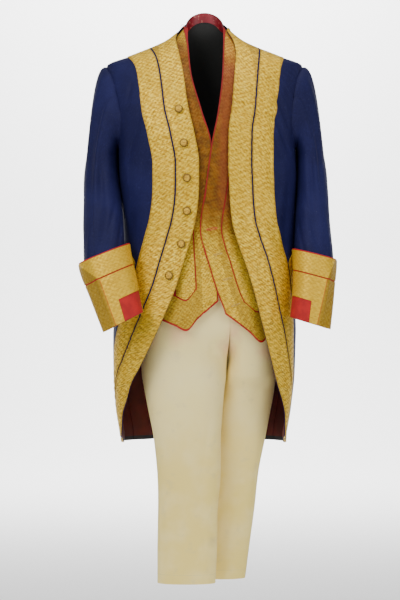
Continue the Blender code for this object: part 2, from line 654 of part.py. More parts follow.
def build_cuff(side, angles):
    """A red cuff that flares up from the hand edge, with its gold lace."""
    low = SLEEVES[side].key[0]
    rows = []
    for step in CUFF_STEPS:
        key = low + CUFF_HEIGHT[side] * step
        grow = CUFF_EASE + CUFF_WALL + CUFF_FLARE[side] * step
        rows.append([sleeve_section(side, key, angle, grow, grow) for angle in angles])
    points = np.array(rows)
    normals = grid_normals(points, True)
    around = np.arange(len(angles) + 1) % len(angles)
    points, normals = points[:, around], normals[:, around]
    inside = points - normals * CUFF_WALL
    lace, base = walls(points, normals, LACE_WALL, SEAM_GAP)
    half = len(angles) // 2
    for face, columns in (("front", np.s_[:half + 1]), ("back", np.s_[half:])):
        wall, inner_wall, lace_face, lace_base = (trim(layer[:, columns], first=True, last=True)
                                                  for layer in (points, inside, lace, base))
        shell("cuff_%s_%s" % (face, side), wall, inner_wall, "red")
        shell("cuff_lace_top_%s_%s" % (face, side), lace_face, lace_base, "gold", lambda i, j: i == 3)
        bare = CUFF_BARE_COLUMNS if face == "front" else ()
        shell("cuff_lace_hand_%s_%s" % (face, side), lace_face, lace_base, "gold",
              lambda i, j, bare=bare: i < 2 and not (i < 1 and j in bare))


def build_buttons():
    """Six domed buttons on the edge lace of the wearer's right front."""
    places = ((-0.180, 0.060), (-0.259, 0.048), (-0.340, 0.041), (-0.417, 0.041), (-0.494, 0.054),
              (-0.568, 0.082))
    profile = [(0.0022, 0.0), (0.0022, BUTTON_SHANK - 0.0008), (0.0088, BUTTON_SHANK)]
    for k in range(3):
        turn = math.radians(90 * k / 3)
        profile.append((BUTTON_RADIUS * math.cos(turn),
                        BUTTON_SHANK + 0.0012 + (BUTTON_DOME - 0.0012) * math.sin(turn)))
    mesh = bpy.data.objects["coat_lace_edge_right"].data
    lace = BVHTree.FromPolygons([v.co for v in mesh.vertices], [f.vertices[:] for f in mesh.polygons])
    for number, (height, across) in enumerate(places, 1):
        angle = angle_at(COAT_RING, "right", across, height)
        points, normals = surface_grid(coat_point, "right", np.array([[angle]]), np.array([[height]]))
        normal = Vector(normals[0, 0])
        seat = lace.ray_cast(Vector(points[0, 0]) + normal * BUTTON_REACH, -normal)[0]
        foot = seat + normal * (SEAM_GAP + BUTTON_SAG)
        bm = bmesh.new()
        outline = [(0, 0)] + profile + [(0, BUTTON_SHANK + BUTTON_DOME)]
        chain = [bm.verts.new((radius, 0, rise)) for radius, rise in outline]
        edges = [bm.edges.new(pair) for pair in zip(chain, chain[1:])]
        bmesh.ops.spin(bm, geom=chain + edges, cent=(0, 0, 0), axis=(0, 0, 1), angle=math.tau, steps=12,
                       use_merge=True)
        bmesh.ops.remove_doubles(bm, verts=bm.verts[:], dist=0.00001)
        turn = Vector((0, 0, 1)).rotation_difference(normal).to_matrix()
        bmesh.ops.rotate(bm, verts=bm.verts[:], cent=(0, 0, 0), matrix=turn)
        bmesh.ops.translate(bm, verts=bm.verts[:], vec=foot)
        finish_object("coat_button_%d" % number, bm, "gold")


def waistcoat_row_heights(side, distance):
    """Heights of a waistcoat column's rows below the yoke; the last ones follow the hem."""
    hem = WAISTCOAT_HEM[side].at(distance, "height")
    top = WAISTCOAT_ROWS[-1]
    low = hem + WAISTCOAT_HEM_STEPS[0]
    return list(WAISTCOAT_ROWS) + [(top + low) / 2] + [hem + rise for rise in WAISTCOAT_HEM_STEPS]


def build_waistcoat():
    """The waistcoat's fronts with their two lace rows, its back and its neck band."""
    inner, outer = lace_offsets(WAISTCOAT_LACE, WAISTCOAT_SPLIT, RED_EDGE, 2)
    offsets = [0] + inner + outer
    edge_end, inner_start, inner_end = len(inner), len(inner) + 1, len(offsets) - 1
    for side in SIDES:
        angles, heights = front_grid(WAISTCOAT_CUT, side, offsets, 4,
                                     lambda distance, side=side: waistcoat_row_heights(side, distance))
        points, normals = surface_grid(waistcoat_point, side, angles, heights)
        inside = points - normals * WAISTCOAT_WALL
        shell("waistcoat_front_" + side, trim(points, top=True, last=True),
              trim(inside, top=True, last=True), "red")
        lace, base = (trim(layer, top=True) for layer in walls(points, normals, LACE_WALL, SEAM_GAP))
        low = heights.shape[0] - 2
        side_end = heights.shape[1] - 2
        shell("waistcoat_lace_edge_" + side, lace, base, "gold",
              lambda i, j: i < low and 1 <= j < (edge_end if i < low - 2 else side_end))
        shell("waistcoat_lace_inner_" + side, lace, base, "gold",
              lambda i, j: i < low - 3 and inner_start <= j < inner_end)
    build_waistcoat_back()


def build_waistcoat_back():
    """The dark back in one piece, with the crimson band inside its neck."""
    neck_columns = 4
    drop = NECK_BAND_DEPTH / (WAISTCOAT_NECK_BACK - YOKE)
    steps = (0, drop / 2, drop, 0.35, 0.65, 1)
    halves = []
    for side in SIDES:
        angles, heights = back_grid(WAISTCOAT_CUT, (WAISTCOAT_NECK_SIDE, WAISTCOAT_NECK_BACK),
                                    (neck_columns, 3), WAISTCOAT_SHOULDER,
                                    WAISTCOAT_ROWS + (-0.49, WAISTCOAT_HEM_BACK), steps)
        halves.append(surface_grid(waistcoat_point, side, angles, heights))
    points, normals = (np.concatenate((right[:, ::-1], left[:, 1:]), axis=1)
                       for right, left in zip(*halves))
    inside = points - normals * WAISTCOAT_WALL
    wall, inner_wall = trim(points, first=True, last=True), trim(inside, first=True, last=True)
    for columns in (np.s_[:4], np.s_[-4:]):
        trim_shoulder(wall, points, columns)
        trim_shoulder(inner_wall, inside, columns)
    shell("waistcoat_back", wall, inner_wall, "black")
    band, base = walls(inside, -normals, BAND_WALL, SEAM_GAP)
    columns = points.shape[1] - 1
    shell("neck_band", band, base, "crimson", lambda i, j: i < 2 and 3 <= j < columns - 3)


def trouser_point(side, front, part, height):
    """A point of a trouser panel: part 0 is the side seam, 1 the centre or inseam."""
    sign = SIDES[side]
    facing = 1 if front else -1
    ring = TROUSER_RING.row(height)
    depth = ring[1] if front else ring[2]
    fly = TROUSER_FLY.at(height, "across")
    limit = math.asin(min(max(signed_power((fly - ring[3]) * sign / ring[0], RING_POWER / 2), -1), 1))
    turn = math.pi / 2 + (limit - math.pi / 2) * part
    body = np.array((ring[3] + sign * ring[0] * signed_power(math.sin(turn), 2 / RING_POWER),
                     -facing * depth * signed_power(math.cos(turn), 2 / RING_POWER), height))
    across, forward, half, leg_depth = LEGS[side].row(height)
    turn = math.pi * part
    leg = np.array((across + sign * half * signed_power(math.cos(turn), 2 / LEG_POWER),
                    -forward - facing * leg_depth * signed_power(math.sin(turn), 2 / LEG_POWER), height))
    blend = ease(CROTCH_START, CROTCH, height)
    return body + (leg - body) * blend


def build_trousers():
    heights = TROUSER_ROWS
    parts = [k / PANEL_COLUMNS for k in range(PANEL_COLUMNS + 1)]
    for side in SIDES:
        grids = {}
        for front in (True, False):
            points = np.array([[trouser_point(side, front, part, height) for part in parts]
                               for height in heights])
            round_way = np.array([[trouser_point(side, front, min(part + 0.01, 1), height)
                                   - trouser_point(side, front, max(part - 0.01, 0), height)
                                   for part in parts] for height in heights])
            down_way = np.gradient(points, axis=0)
            normals = np.cross(round_way, down_way)
            normals /= np.linalg.norm(normals, axis=-1, keepdims=True)
            if np.sum(normals[..., 1]) * (-1 if front else 1) < 0:
                normals = -normals
            grids[front] = (points, normals)
        shared = grids[True][1] + grids[False][1]
        for column in (0, -1):
            below = np.ones(len(heights), bool)
            if column == -1:
                below = np.array(heights) < CROTCH + 0.001
            joined = shared[:, column] / np.linalg.norm(shared[:, column], axis=-1, keepdims=True)
            for front in (True, False):
                grids[front][1][below, column] = joined[below]
        for front, (points, normals) in grids.items():
            inside = points - normals * TROUSER_WALL
            name = "trouser_%s_%s" % ("front" if front else "back", side)
            shell(name, trim(points, first=True, last=True), trim(inside, first=True, last=True), "cream")


def build_waistband():
    """The trousers' waistband, a front half and a back half."""
    count = 40
    rows = (WAISTBAND_TOP, WAISTBAND_TOP - WAISTBAND_DEPTH / 2, WAISTBAND_TOP - WAISTBAND_DEPTH)
    layers = []
    for inset in (0.0, TROUSER_WALL):
        layer = []
        for height in rows:
            half, front, back, across = TROUSER_RING.row(height)
            row = []
            for k in range(count):
                turn = math.tau * k / count
                depth = front if math.cos(turn) >= 0 else back
                row.append((across + (half - inset) * signed_power(math.sin(turn), 2 / RING_POWER),
                            -(depth - inset) * signed_power(math.cos(turn), 2 / RING_POWER), height))
            layer.append(row)
        layers.append(np.array(layer))
    quarter = count // 4
    for face, start in (("front", -quarter), ("back", quarter)):
        picked = [k % count for k in range(start, start + 2 * quarter + 1)]
        outer, inner = (trim(layer[:, picked], first=True, last=True) for layer in layers)
        shell("waistband_" + face, outer, inner, "cream")


def build_wire(name, colour, route, radius):
    """A short bent thread or wire through a route's points."""
    curve = bpy.data.curves.new(name, "CURVE")
    curve.dimensions = "3D"
    curve.bevel_depth = radius
    curve.bevel_resolution = 1
    curve.use_fill_caps = True
    line = curve.splines.new("POLY")
    line.points.add(len(route) - 1)
    for point, place in zip(line.points, route):
        point.co = (*place, 1)
    thing = bpy.data.objects.new(name, curve)
    bpy.context.scene.collection.objects.link(thing)
    mesh = bpy.data.meshes.new_from_object(thing.evaluated_get(bpy.context.evaluated_depsgraph_get()))
    bpy.data.objects.remove(thing, do_unlink=True)
    bm = bmesh.new()
    bm.from_mesh(mesh)
    bmesh.ops.remove_doubles(bm, verts=bm.verts[:], dist=0.00001)
    return finish_object(name, bm, colour)


def build_trimmings():
    """The thread loop at the neck and the small hook at the hem corner."""
    centre = np.array(NECK_LOOP_CENTRE)
    loop = []
    for k in range(9):
        turn = math.radians(-60 + 300 * k / 8)
        loop.append(centre + (NECK_LOOP_RADIUS * math.cos(turn), 0, NECK_LOOP_RADIUS * math.sin(turn)))
    build_wire("neck_loop", "crimson", loop, 0.0006)
    hem = COAT_ROWS[-1]
    corner = coat_point("left", angle_at(COAT_RING, "left", COAT_EDGE.at(hem, "left"), hem), hem)
    hook = []
    for k in range(7):
        turn = math.radians(90 - 230 * k / 6)
        hook.append(corner + (HOOK_RADIUS * math.cos(turn), 0.004,
                              HOOK_RADIUS * math.sin(turn) - HOOK_RADIUS - HOOK_WIRE - SEAM_GAP))
    build_wire("hem_hook", "steel", hook, HOOK_WIRE)


clear_scene()
coat_armholes = build_coat_body()
for coat_side in SIDES:
    sleeve_turns = build_sleeve(coat_side, coat_armholes[coat_side])
    build_cuff(coat_side, sleeve_turns)
build_buttons()
build_waistcoat()
build_trousers()
build_waistband()
build_trimmings()
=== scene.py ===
import math
import re

import bmesh
import bpy
import numpy as np
from mathutils import Matrix, Vector


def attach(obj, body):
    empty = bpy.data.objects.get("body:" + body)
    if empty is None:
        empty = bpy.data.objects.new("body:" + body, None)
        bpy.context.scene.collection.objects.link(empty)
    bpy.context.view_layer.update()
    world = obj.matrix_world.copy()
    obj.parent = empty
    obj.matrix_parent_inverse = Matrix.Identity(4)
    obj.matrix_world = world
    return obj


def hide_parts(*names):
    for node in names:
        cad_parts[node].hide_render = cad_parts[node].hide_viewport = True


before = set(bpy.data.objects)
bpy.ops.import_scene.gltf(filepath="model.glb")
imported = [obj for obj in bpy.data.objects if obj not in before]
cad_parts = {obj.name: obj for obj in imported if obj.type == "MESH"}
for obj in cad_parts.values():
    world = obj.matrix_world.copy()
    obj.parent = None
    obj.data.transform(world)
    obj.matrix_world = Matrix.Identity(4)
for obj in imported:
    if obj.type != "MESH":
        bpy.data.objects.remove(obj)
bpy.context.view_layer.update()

# lengths in metres; the long tables give them in millimetres, with angles in degrees
seamGap = 0.0003
angleColumns = ("front", "back", "angle", "tilt")
sides = {"right": -1, "left": 1}
ringPower = 2.6
yokeLine = -0.140
yokeSteps = (0, 0.1, 0.25, 0.45, 0.7, 1)


class Table:
    # named columns over a key, read smoothly between the rows
    def __init__(self, names, rows):
        data = np.array(sorted(rows)) * [1 if name in angleColumns else 0.001 for name in names]
        self.names = names[1:]
        self.key = data[:, 0]
        self.values = data[:, 1:]
        rise = np.diff(self.values, axis=0) / np.diff(self.key)[:, None]
        together = rise[:-1] * rise[1:]
        total = np.where(together > 0, rise[:-1] + rise[1:], 1)
        self.slope = np.zeros_like(self.values)
        self.slope[0] = rise[0]
        self.slope[-1] = rise[-1]
        self.slope[1:-1] = np.where(together > 0, 2 * together / total, 0)

    def row(self, key):
        key = min(max(key, self.key[0]), self.key[-1])
        low = min(max(int(np.searchsorted(self.key, key)) - 1, 0), len(self.key) - 2)
        span = self.key[low + 1] - self.key[low]
        t = (key - self.key[low]) / span
        start = (1 + 2 * t) * (1 - t) ** 2 * self.values[low]
        end = t * t * (3 - 2 * t) * self.values[low + 1]
        startSlope = t * (1 - t) ** 2 * span * self.slope[low]
        endSlope = t * t * (t - 1) * span * self.slope[low + 1]
        return start + end + startSlope + endSlope

    def at(self, key, name):
        return float(self.row(key)[self.names.index(name)])


def inMetres(rows, angles=()):
    return [[value if isinstance(value, str) or k in angles else value * 0.001
             for k, value in enumerate(row)] for row in rows]


ringColumns = ("height", "halfWidth", "frontDepth", "backDepth", "across")
coatRing = Table(ringColumns, [
    (55, 52, 4, 60, 0), (24, 60, 10, 62, 0), (10, 74, 22, 70, 0), (-5, 95, 34, 78, 0),
    (-17, 120, 44, 84, 0), (-40, 177, 60, 96, 0), (-64, 234, 74, 106, 0), (-100, 230, 100, 118, 1),
    (-140, 226, 120, 128, 2), (-190, 222, 134, 134, 4), (-230, 217, 140, 136, 5),
    (-268, 212, 142, 136, 6), (-320, 212.5, 142, 132, 8), (-400, 207.5, 136, 124, 10),
    (-470, 206, 136, 124, 11), (-540, 209, 142, 135, 8), (-620, 213, 150, 150, 3),
    (-710, 219, 158, 165, -1), (-800, 218, 160, 175, -2), (-880, 211, 158, 180, -3),
    (-945, 201, 155, 182, -3)])
coatEdge = Table(("height", "right", "left"), [
    (20, 64, 54), (10, 66, 60), (0, 68, 66), (-20, 65, 72), (-40, 60, 74), (-85, 51, 71), (-120, 46, 68),
    (-169, 39, 64), (-229, 25, 56), (-306, 13, 55), (-352, 13, 57), (-394, 15, 59), (-442, 22, 64),
    (-484, 33, 75), (-540, 50, 95), (-601, 69, 114), (-663, 95, 130), (-726, 124, 146), (-782, 152, 160),
    (-820, 172, 170), (-856, 182, 181), (-895, 193, 189), (-945, 197, 191)])
coatCut = {
    "ring": coatRing, "edge": coatEdge, "neckTop": {"right": 0.018, "left": 0.029}, "laceReach": 0.177,
    "tip": -0.064, "flank": 0.15,
    "armhole": Table(("height", "front", "back"), [
        (-64, 90, 90), (-75, 78, 102), (-100, 70, 110), (-140, 64, 116), (-190, 62, 118), (-230, 67, 112),
        (-255, 78, 101), (-268, 91, 91)]),
    "sideSeam": Table(("height", "angle"), [
        (-268, 91), (-320, 94), (-400, 100), (-540, 112), (-710, 120), (-945, 124)])}
coatRows = (-0.18, -0.225, -0.268, -0.32, -0.38, -0.44, -0.505, -0.555, -0.608, -0.67, -0.73, -0.79,
            -0.845, -0.895, -0.945)
# side, top height, top angle, low height, low angle, width, rise
coatFolds = inMetres((
    ("left", -140, 40, -215, 58, 10, -3.5), ("left", -175, 36, -275, 62, 12, -4),
    ("right", -190, 42, -300, 60, 14, -3), ("left", -330, 60, -520, 56, 18, -3.5),
    ("right", -330, 58, -520, 60, 18, -3.5), ("left", -600, 84, -1000, 88, 26, -10),
    ("right", -600, 86, -1000, 92, 26, -10), ("left", -560, 104, -1000, 108, 22, 10),
    ("right", -560, 106, -1000, 109, 22, 9), ("left", -520, 132, -1000, 139, 22, -12),
    ("right", -520, 134, -1000, 140, 22, -11), ("left", -540, 148, -1000, 156, 22, 10),
    ("right", -540, 147, -1000, 155, 22, 11), ("left", -120, 150, -300, 138, 24, -4),
    ("right", -130, 152, -300, 136, 24, -4)), (2, 4))

sleeveColumns = ("height", "out", "forward", "halfWidth", "halfDepth", "tilt")
sleeveTables = {
    "right": Table(sleeveColumns, [
        (-280, 245, 1, 37.3, 70, 1), (-325, 245.9, 12, 40.7, 67, 4), (-384, 243, 34, 45, 64, 8),
        (-452, 240, 80, 50, 60, 15), (-517, 235, 120, 52, 54, 22), (-595, 212, 152, 50, 46, 25),
        (-675, 187.5, 178, 48, 40, 27)]),
    "left": Table(sleeveColumns, [
        (-280, 253, 0, 32.4, 70, 0), (-330, 256.6, 9, 35.1, 69, 2), (-384, 258.2, 20, 39.1, 67, 3),
        (-452, 258.5, 46, 43.5, 62, 8), (-517, 259.5, 72, 46.5, 53, 14), (-595, 256, 95, 44, 46, 16),
        (-678, 246.5, 117, 46, 40, 17)])}
sleevePower = 2.2
# side, top height, low height, top angle, low angle, width, rise
sleeveFolds = inMetres((
    ("right", -120, -420, 42, 58, 13, -6), ("right", -260, -540, 100, 74, 14, -7),
    ("right", -300, -560, -20, 20, 14, -5), ("right", -150, -480, -80, -60, 16, -6),
    ("left", -120, -400, 46, 66, 13, -6), ("left", -240, -520, 104, 84, 14, -6.5),
    ("left", -290, -560, -10, 28, 14, -5), ("left", -160, -470, -84, -64, 16, -6)), (3, 4, 5))

waistcoatCut = {
    "ring": Table(ringColumns, [
        (70, 43, 3, 48, 0), (31, 47, 4, 51, 0), (18, 55, 10, 54, 0), (5, 69, 18, 60, 0),
        (-5, 84, 25, 66, 0), (-17, 107.5, 35, 73, 0), (-40, 164.5, 51, 85, 0), (-64, 216, 63, 95, 0),
        (-100, 216, 88, 107, 0), (-140, 211, 107, 117, 0), (-190, 206, 122, 124, 0),
        (-230, 199, 128, 126, 0), (-268, 193, 130, 127, 0), (-320, 185, 129, 122, 0),
        (-400, 176, 120, 112, 0), (-470, 173, 117, 110, 0), (-540, 176, 120, 117, 0),
        (-620, 186, 127, 127, 0), (-730, 196, 131, 140, 0)]),
    "edge": Table(("height", "right", "left"), [
        (0, 40, 45), (-84, 32, 42), (-182, 6, 31), (-259, -16, 16), (-360, -22, 2), (-460, -24, -11),
        (-510, -26, -1), (-538, -28, 8), (-603, -31, 28), (-657, -33, 48), (-730, -34, 60)]),
    "armhole": Table(("height", "front", "back"), [
        (-41, 90, 90), (-52, 66, 99), (-70, 52, 112), (-100, 44, 126), (-140, 43, 136), (-190, 46, 133),
        (-230, 55, 124), (-260, 71, 108), (-285, 92, 92)]),
    "sideSeam": Table(("height", "angle"), [(-285, 92), (-400, 94), (-600, 96)]),
    "neckTop": {"right": 0.031, "left": 0.031}, "laceReach": 0.144, "tip": -0.041, "flank": 0.15}
waistcoatRows = (-0.17, -0.21, -0.25, -0.285, -0.35, -0.42)
waistcoatHemSteps = (0.135, 0.074, 0.070, 0.038, 0.005, 0)
waistcoatHem = {
    "right": Table(("distance", "height"), [
        (0, -627), (50, -670), (76, -697), (119, -672), (249, -600)]),
    "left": Table(("distance", "height"), [(0, -657), (50, -700), (76, -724), (100, -704), (249, -600)])}

trouserRing = Table(ringColumns, [
    (-475, 168, 112.5, 104.5, 0), (-510, 167, 111, 105, 0), (-560, 166, 110, 108, 2),
    (-620, 166, 110, 116, 6), (-700, 164, 108, 122, 9), (-800, 161, 102, 118, 9)])
trouserFly = Table(("height", "across"), [(-475, 58), (-600, 60), (-711, 60), (-800, 54)])
legPower = 2.3
legColumns = ("height", "across", "forward", "halfWidth", "halfDepth")
legTables = {
    "right": Table(legColumns, [
        (-715, -50, 12, 103, 100), (-800, -49, 16, 101, 90), (-840, -48, 32, 95, 76),
        (-876, -46, 37, 90, 67), (-954, -41, 37, 80, 56), (-1048, -37, 38, 75, 46),
        (-1131, -40, 38, 71, 41), (-1204, -41, 38, 71, 38), (-1296, -43, 38, 69, 36)]),
    "left": Table(legColumns, [
        (-715, 115, -15, 56, 100), (-800, 111, -22, 60.5, 88), (-840, 105, -44, 64, 76),
        (-876, 95, -47, 68, 67), (-954, 83, -48, 65, 56), (-1048, 69, -48, 61, 46),
        (-1131, 60, -48, 61, 42), (-1204, 50, -48, 61, 40), (-1296, 38, -48, 61, 38)])}


def ease(low, high, value):
    t = np.clip((value - low) / (high - low), 0, 1)
    return t * t * (3 - 2 * t)


def power(value, exponent):
    return np.copysign(np.abs(value) ** exponent, value)


def ringPoints(ring, side, angles, height):
    # points of a body ring: angle 0 is the centre front, 90 the side
    half, front, back, across = ring.row(height)
    turn = np.radians(angles)
    depth = np.where(np.cos(turn) >= 0, front, back)
    out = half * power(np.sin(turn), 2 / ringPower)
    forward = depth * power(np.cos(turn), 2 / ringPower)
    return np.stack((sides[side] * out + across, -forward, out * 0 + height), axis=-1)


def angleAt(ring, side, distance, height):
    out = distance - sides[side] * ring.at(height, "across")
    part = np.clip(out / ring.at(height, "halfWidth"), -1, 1)
    return float(np.degrees(np.arcsin(power(part, ringPower / 2))))


def heightAt(ring, halfWidth):
    heights = np.linspace(0.03, -0.07, 201)
    return float(np.interp(halfWidth, [ring.at(height, "halfWidth") for height in heights], heights))


def anglesAlong(ring, start, distances, height):
    angles = np.linspace(start, 150, 160)
    steps = np.linalg.norm(np.diff(ringPoints(ring, "left", angles, height), axis=0), axis=1)
    return np.interp(distances, np.concatenate(([0], np.cumsum(steps))), angles)


def coatFoldRise(side, angles, height):
    total = angles * 0
    for foldSide, top, topAngle, low, lowAngle, width, rise in coatFolds:
        if foldSide == side:
            along = (top - height) / (top - low)
            away = np.radians(angles - topAngle - (lowAngle - topAngle) * along) * 0.17 / width
            total = total + rise * ease(0, 0.3, along) * ease(1.15, 0.85, along) * np.exp(-away * away)
    return total


def seamAngle(cut, height, face):
    if height > cut["sideSeam"].key[-1]:
        return cut["armhole"].at(height, face)
    return cut["sideSeam"].at(height, "angle")


def edgeAngles(cut, side, offsets, height):
    # ring angles at distances from the front edge, measured square to that edge
    edge = cut["edge"]
    start = angleAt(cut["ring"], side, edge.at(height, side), height)
    slope = (edge.at(height + 0.01, side) - edge.at(height - 0.01, side)) / 0.02
    lean = math.hypot(1, slope) if height < yokeLine else 1
    return anglesAlong(cut["ring"], start, np.asarray(offsets) * lean, height)


def finer(values, times):
    # steps between the values, each gap cut into a number of parts
    values = np.asarray(values, dtype=float)
    place = np.linspace(0, len(values) - 1, (len(values) - 1) * times + 1)
    return np.interp(place, np.arange(len(values)), values)


def frontGrid(cut, side, offsets, spread, rowHeights, times):
    # angles and heights of a front, rows from the shoulder seam down, columns from its edge
    ring, tip, neckTop = cut["ring"], cut["tip"], cut["neckTop"][side]
    neckX = ring.at(neckTop, "halfWidth")
    steps = finer(yokeSteps, times)
    lines = []
    for offset in offsets:
        top, stretch = neckTop, 1
        if offset > 0:
            top = heightAt(ring, neckX + (cut["laceReach"] - neckX) * offset / offsets[-1])
            start = angleAt(ring, side, cut["edge"].at(top, side), top)
            flank = ringPoints(ring, side, np.linspace(start, 90, 60), top)
            stretch = np.sum(np.linalg.norm(np.diff(flank, axis=0), axis=1)) / offset
        line = [(90, top)]
        for step in steps[1:]:
            height = top + (yokeLine - top) * step
            distance = offset * (1 + (stretch - 1) * (1 - step) ** 8)
            line.append((float(edgeAngles(cut, side, distance, height)), height))
        lines.append(np.array(line))
    heights = tip + (yokeLine - tip) * steps
    armhole = np.array([(seamAngle(cut, height, "front"), height) for height in heights])
    columns = []
    for k in range(len(offsets) + spread):
        offset = offsets[min(k, len(offsets) - 1)]
        share = max(k - len(offsets) + 1, 0) / spread
        line = lines[min(k, len(offsets) - 1)]
        line = line + (armhole - line) * share
        below = []
        for height in finer((yokeLine,) + tuple(rowHeights(offset + share * cut["flank"])), times)[1:]:
            angle = float(edgeAngles(cut, side, offset, height))
            below.append((angle + (seamAngle(cut, height, "front") - angle) * share, height))
        columns.append(np.concatenate((line, below)))
    grid = np.array(columns).transpose(1, 0, 2)
    return grid[..., 0], grid[..., 1]


def backGrid(cut, neck, counts, reach, rows, times, steps=yokeSteps):
    # angles and heights of half a back, from its centre to the armhole and side seam
    ring, tip = cut["ring"], cut["tip"]
    neckSide, neckBack = neck
    neckX = ring.at(neckSide, "halfWidth")
    tops = [(180 - 90 * part, neckBack - (neckBack - neckSide) * part ** 1.7)
            for part in np.linspace(0, 1, counts[0] + 1)]
    tops += [(90, heightAt(ring, neckX + (reach - neckX) * k / counts[1])) for k in range(1, counts[1])]
    tops.append((90, tip))
    below = finer((yokeLine,) + tuple(rows), times)[1:]
    columns = []
    for k, (topAngle, top) in enumerate(tops):
        part = k / (len(tops) - 1)
        lowAngle = 180 + (seamAngle(cut, yokeLine, "back") - 180) * part
        line = []
        for step in finer(steps, times):
            bend = step ** 0.6
            level = 90 + (seamAngle(cut, yokeLine, "back") - 90) * bend
            away = seamAngle(cut, tip + (yokeLine - tip) * step, "back") - level
            line.append((topAngle + (lowAngle - topAngle) * bend + away * part ** 4,
                         top + (yokeLine - top) * step))
        line += [(180 + (seamAngle(cut, height, "back") - 180) * part, height) for height in below]
        columns.append(line)
    grid = np.array(columns).transpose(1, 0, 2)
    return grid[..., 0], grid[..., 1]


def coatPoints(side, angles, height):
    place = ringPoints(coatRing, side, angles, height)
    return place + unit(place * (1, 1, 0)) * coatFoldRise(side, angles, height)[..., None]


def waistcoatPoints(side, angles, height):
    place = ringPoints(waistcoatCut["ring"], side, angles, height)
    if side == "left":
        place[..., 1] -= 0.0045 * ease(0.10, 0.045, place[..., 0]) * ease(-0.16, -0.25, height)
    return place


def surfaceGrid(surface, side, angles, heights):
    points = np.zeros(angles.shape + (3,))
    for i in range(len(angles)):
        if np.ptp(heights[i]) < 1e-9:
            points[i] = surface(side, angles[i], heights[i, 0])
        else:
            for j in range(angles.shape[1]):
                points[i, j] = surface(side, angles[i, j:j + 1], heights[i, j])[0]
    return points


def gridNormals(points, closed=False):
    # outward normals of a grid of rows and columns
    if closed:
        roundWay = np.roll(points, -1, axis=1) - np.roll(points, 1, axis=1)
    else:
        roundWay = np.gradient(points, axis=1)
    normals = unit(np.cross(roundWay, np.gradient(points, axis=0)))
    middle = points.mean(axis=1, keepdims=True) * (1 if closed else 0)
    reach = (points - middle) * (1, 1, 0)
    return normals * (1 if np.sum(normals * reach) > 0 else -1)


def creased(points, table):
    # moves points along their normals by soft troughs and ridges drawn in the front view
    normals = gridNormals(points)
    total = np.zeros(points.shape[:2])
    for startX, startZ, endX, endZ, width, rise in table:
        runX, runZ = endX - startX, endZ - startZ
        length = math.hypot(runX, runZ)
        along = ((points[..., 0] - startX) * runX + (points[..., 2] - startZ) * runZ) / length ** 2
        away = ((points[..., 0] - startX) * runZ - (points[..., 2] - startZ) * runX) / length
        away = away + width * 0.35 * np.sin(along * 7 + startX * 90)
        fade = ease(-0.12, 0.25, along) * ease(1.12, 0.7, along)
        total += rise * fade * np.exp(-(away / (width * (0.7 + 0.6 * along.clip(0, 1)))) ** 2)
    return points + normals * total[..., None]


def trimmed(points, **edges):
    # moves the named edges of a grid inwards by half a seam's gap
    moved = points.copy()
    for name, edge, inside in (("top", np.s_[0], np.s_[1]), ("bottom", np.s_[-1], np.s_[-2]),
                               ("first", np.s_[:, 0], np.s_[:, 1]), ("last", np.s_[:, -1], np.s_[:, -2])):
        if edges.get(name):
            moved[edge] = moved[edge] + unit(points[inside] - points[edge]) * seamGap / 2
    return moved


def unit(vectors):
    return vectors / np.maximum(np.linalg.norm(vectors, axis=-1, keepdims=True), 1e-9)


def lengths(points, axis):
    return np.linalg.norm(np.diff(points, axis=axis), axis=-1)


def finish(name, bm, material, smoothAngle=40, second=None):
    bmesh.ops.recalc_face_normals(bm, faces=bm.faces[:])
    mesh = bpy.data.meshes.new(name)
    bm.to_mesh(mesh)
    bm.free()
    mesh.shade_smooth()
    mesh.set_sharp_from_angle(angle=math.radians(smoothAngle))
    mesh.materials.append(material)
    if second:
        mesh.materials.append(second)
    thing = bpy.data.objects.new(name, mesh)
    bpy.context.scene.collection.objects.link(thing)
    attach(thing, "root")
    return thing


def runs(points):
    # distances across and down a grid at each of its points
    across = np.concatenate((np.zeros((len(points), 1)), np.cumsum(lengths(points, 1), axis=1)), axis=1)
    down = np.concatenate((np.zeros((1, points.shape[1])), np.cumsum(lengths(points, 0), axis=0)))
    return across, down


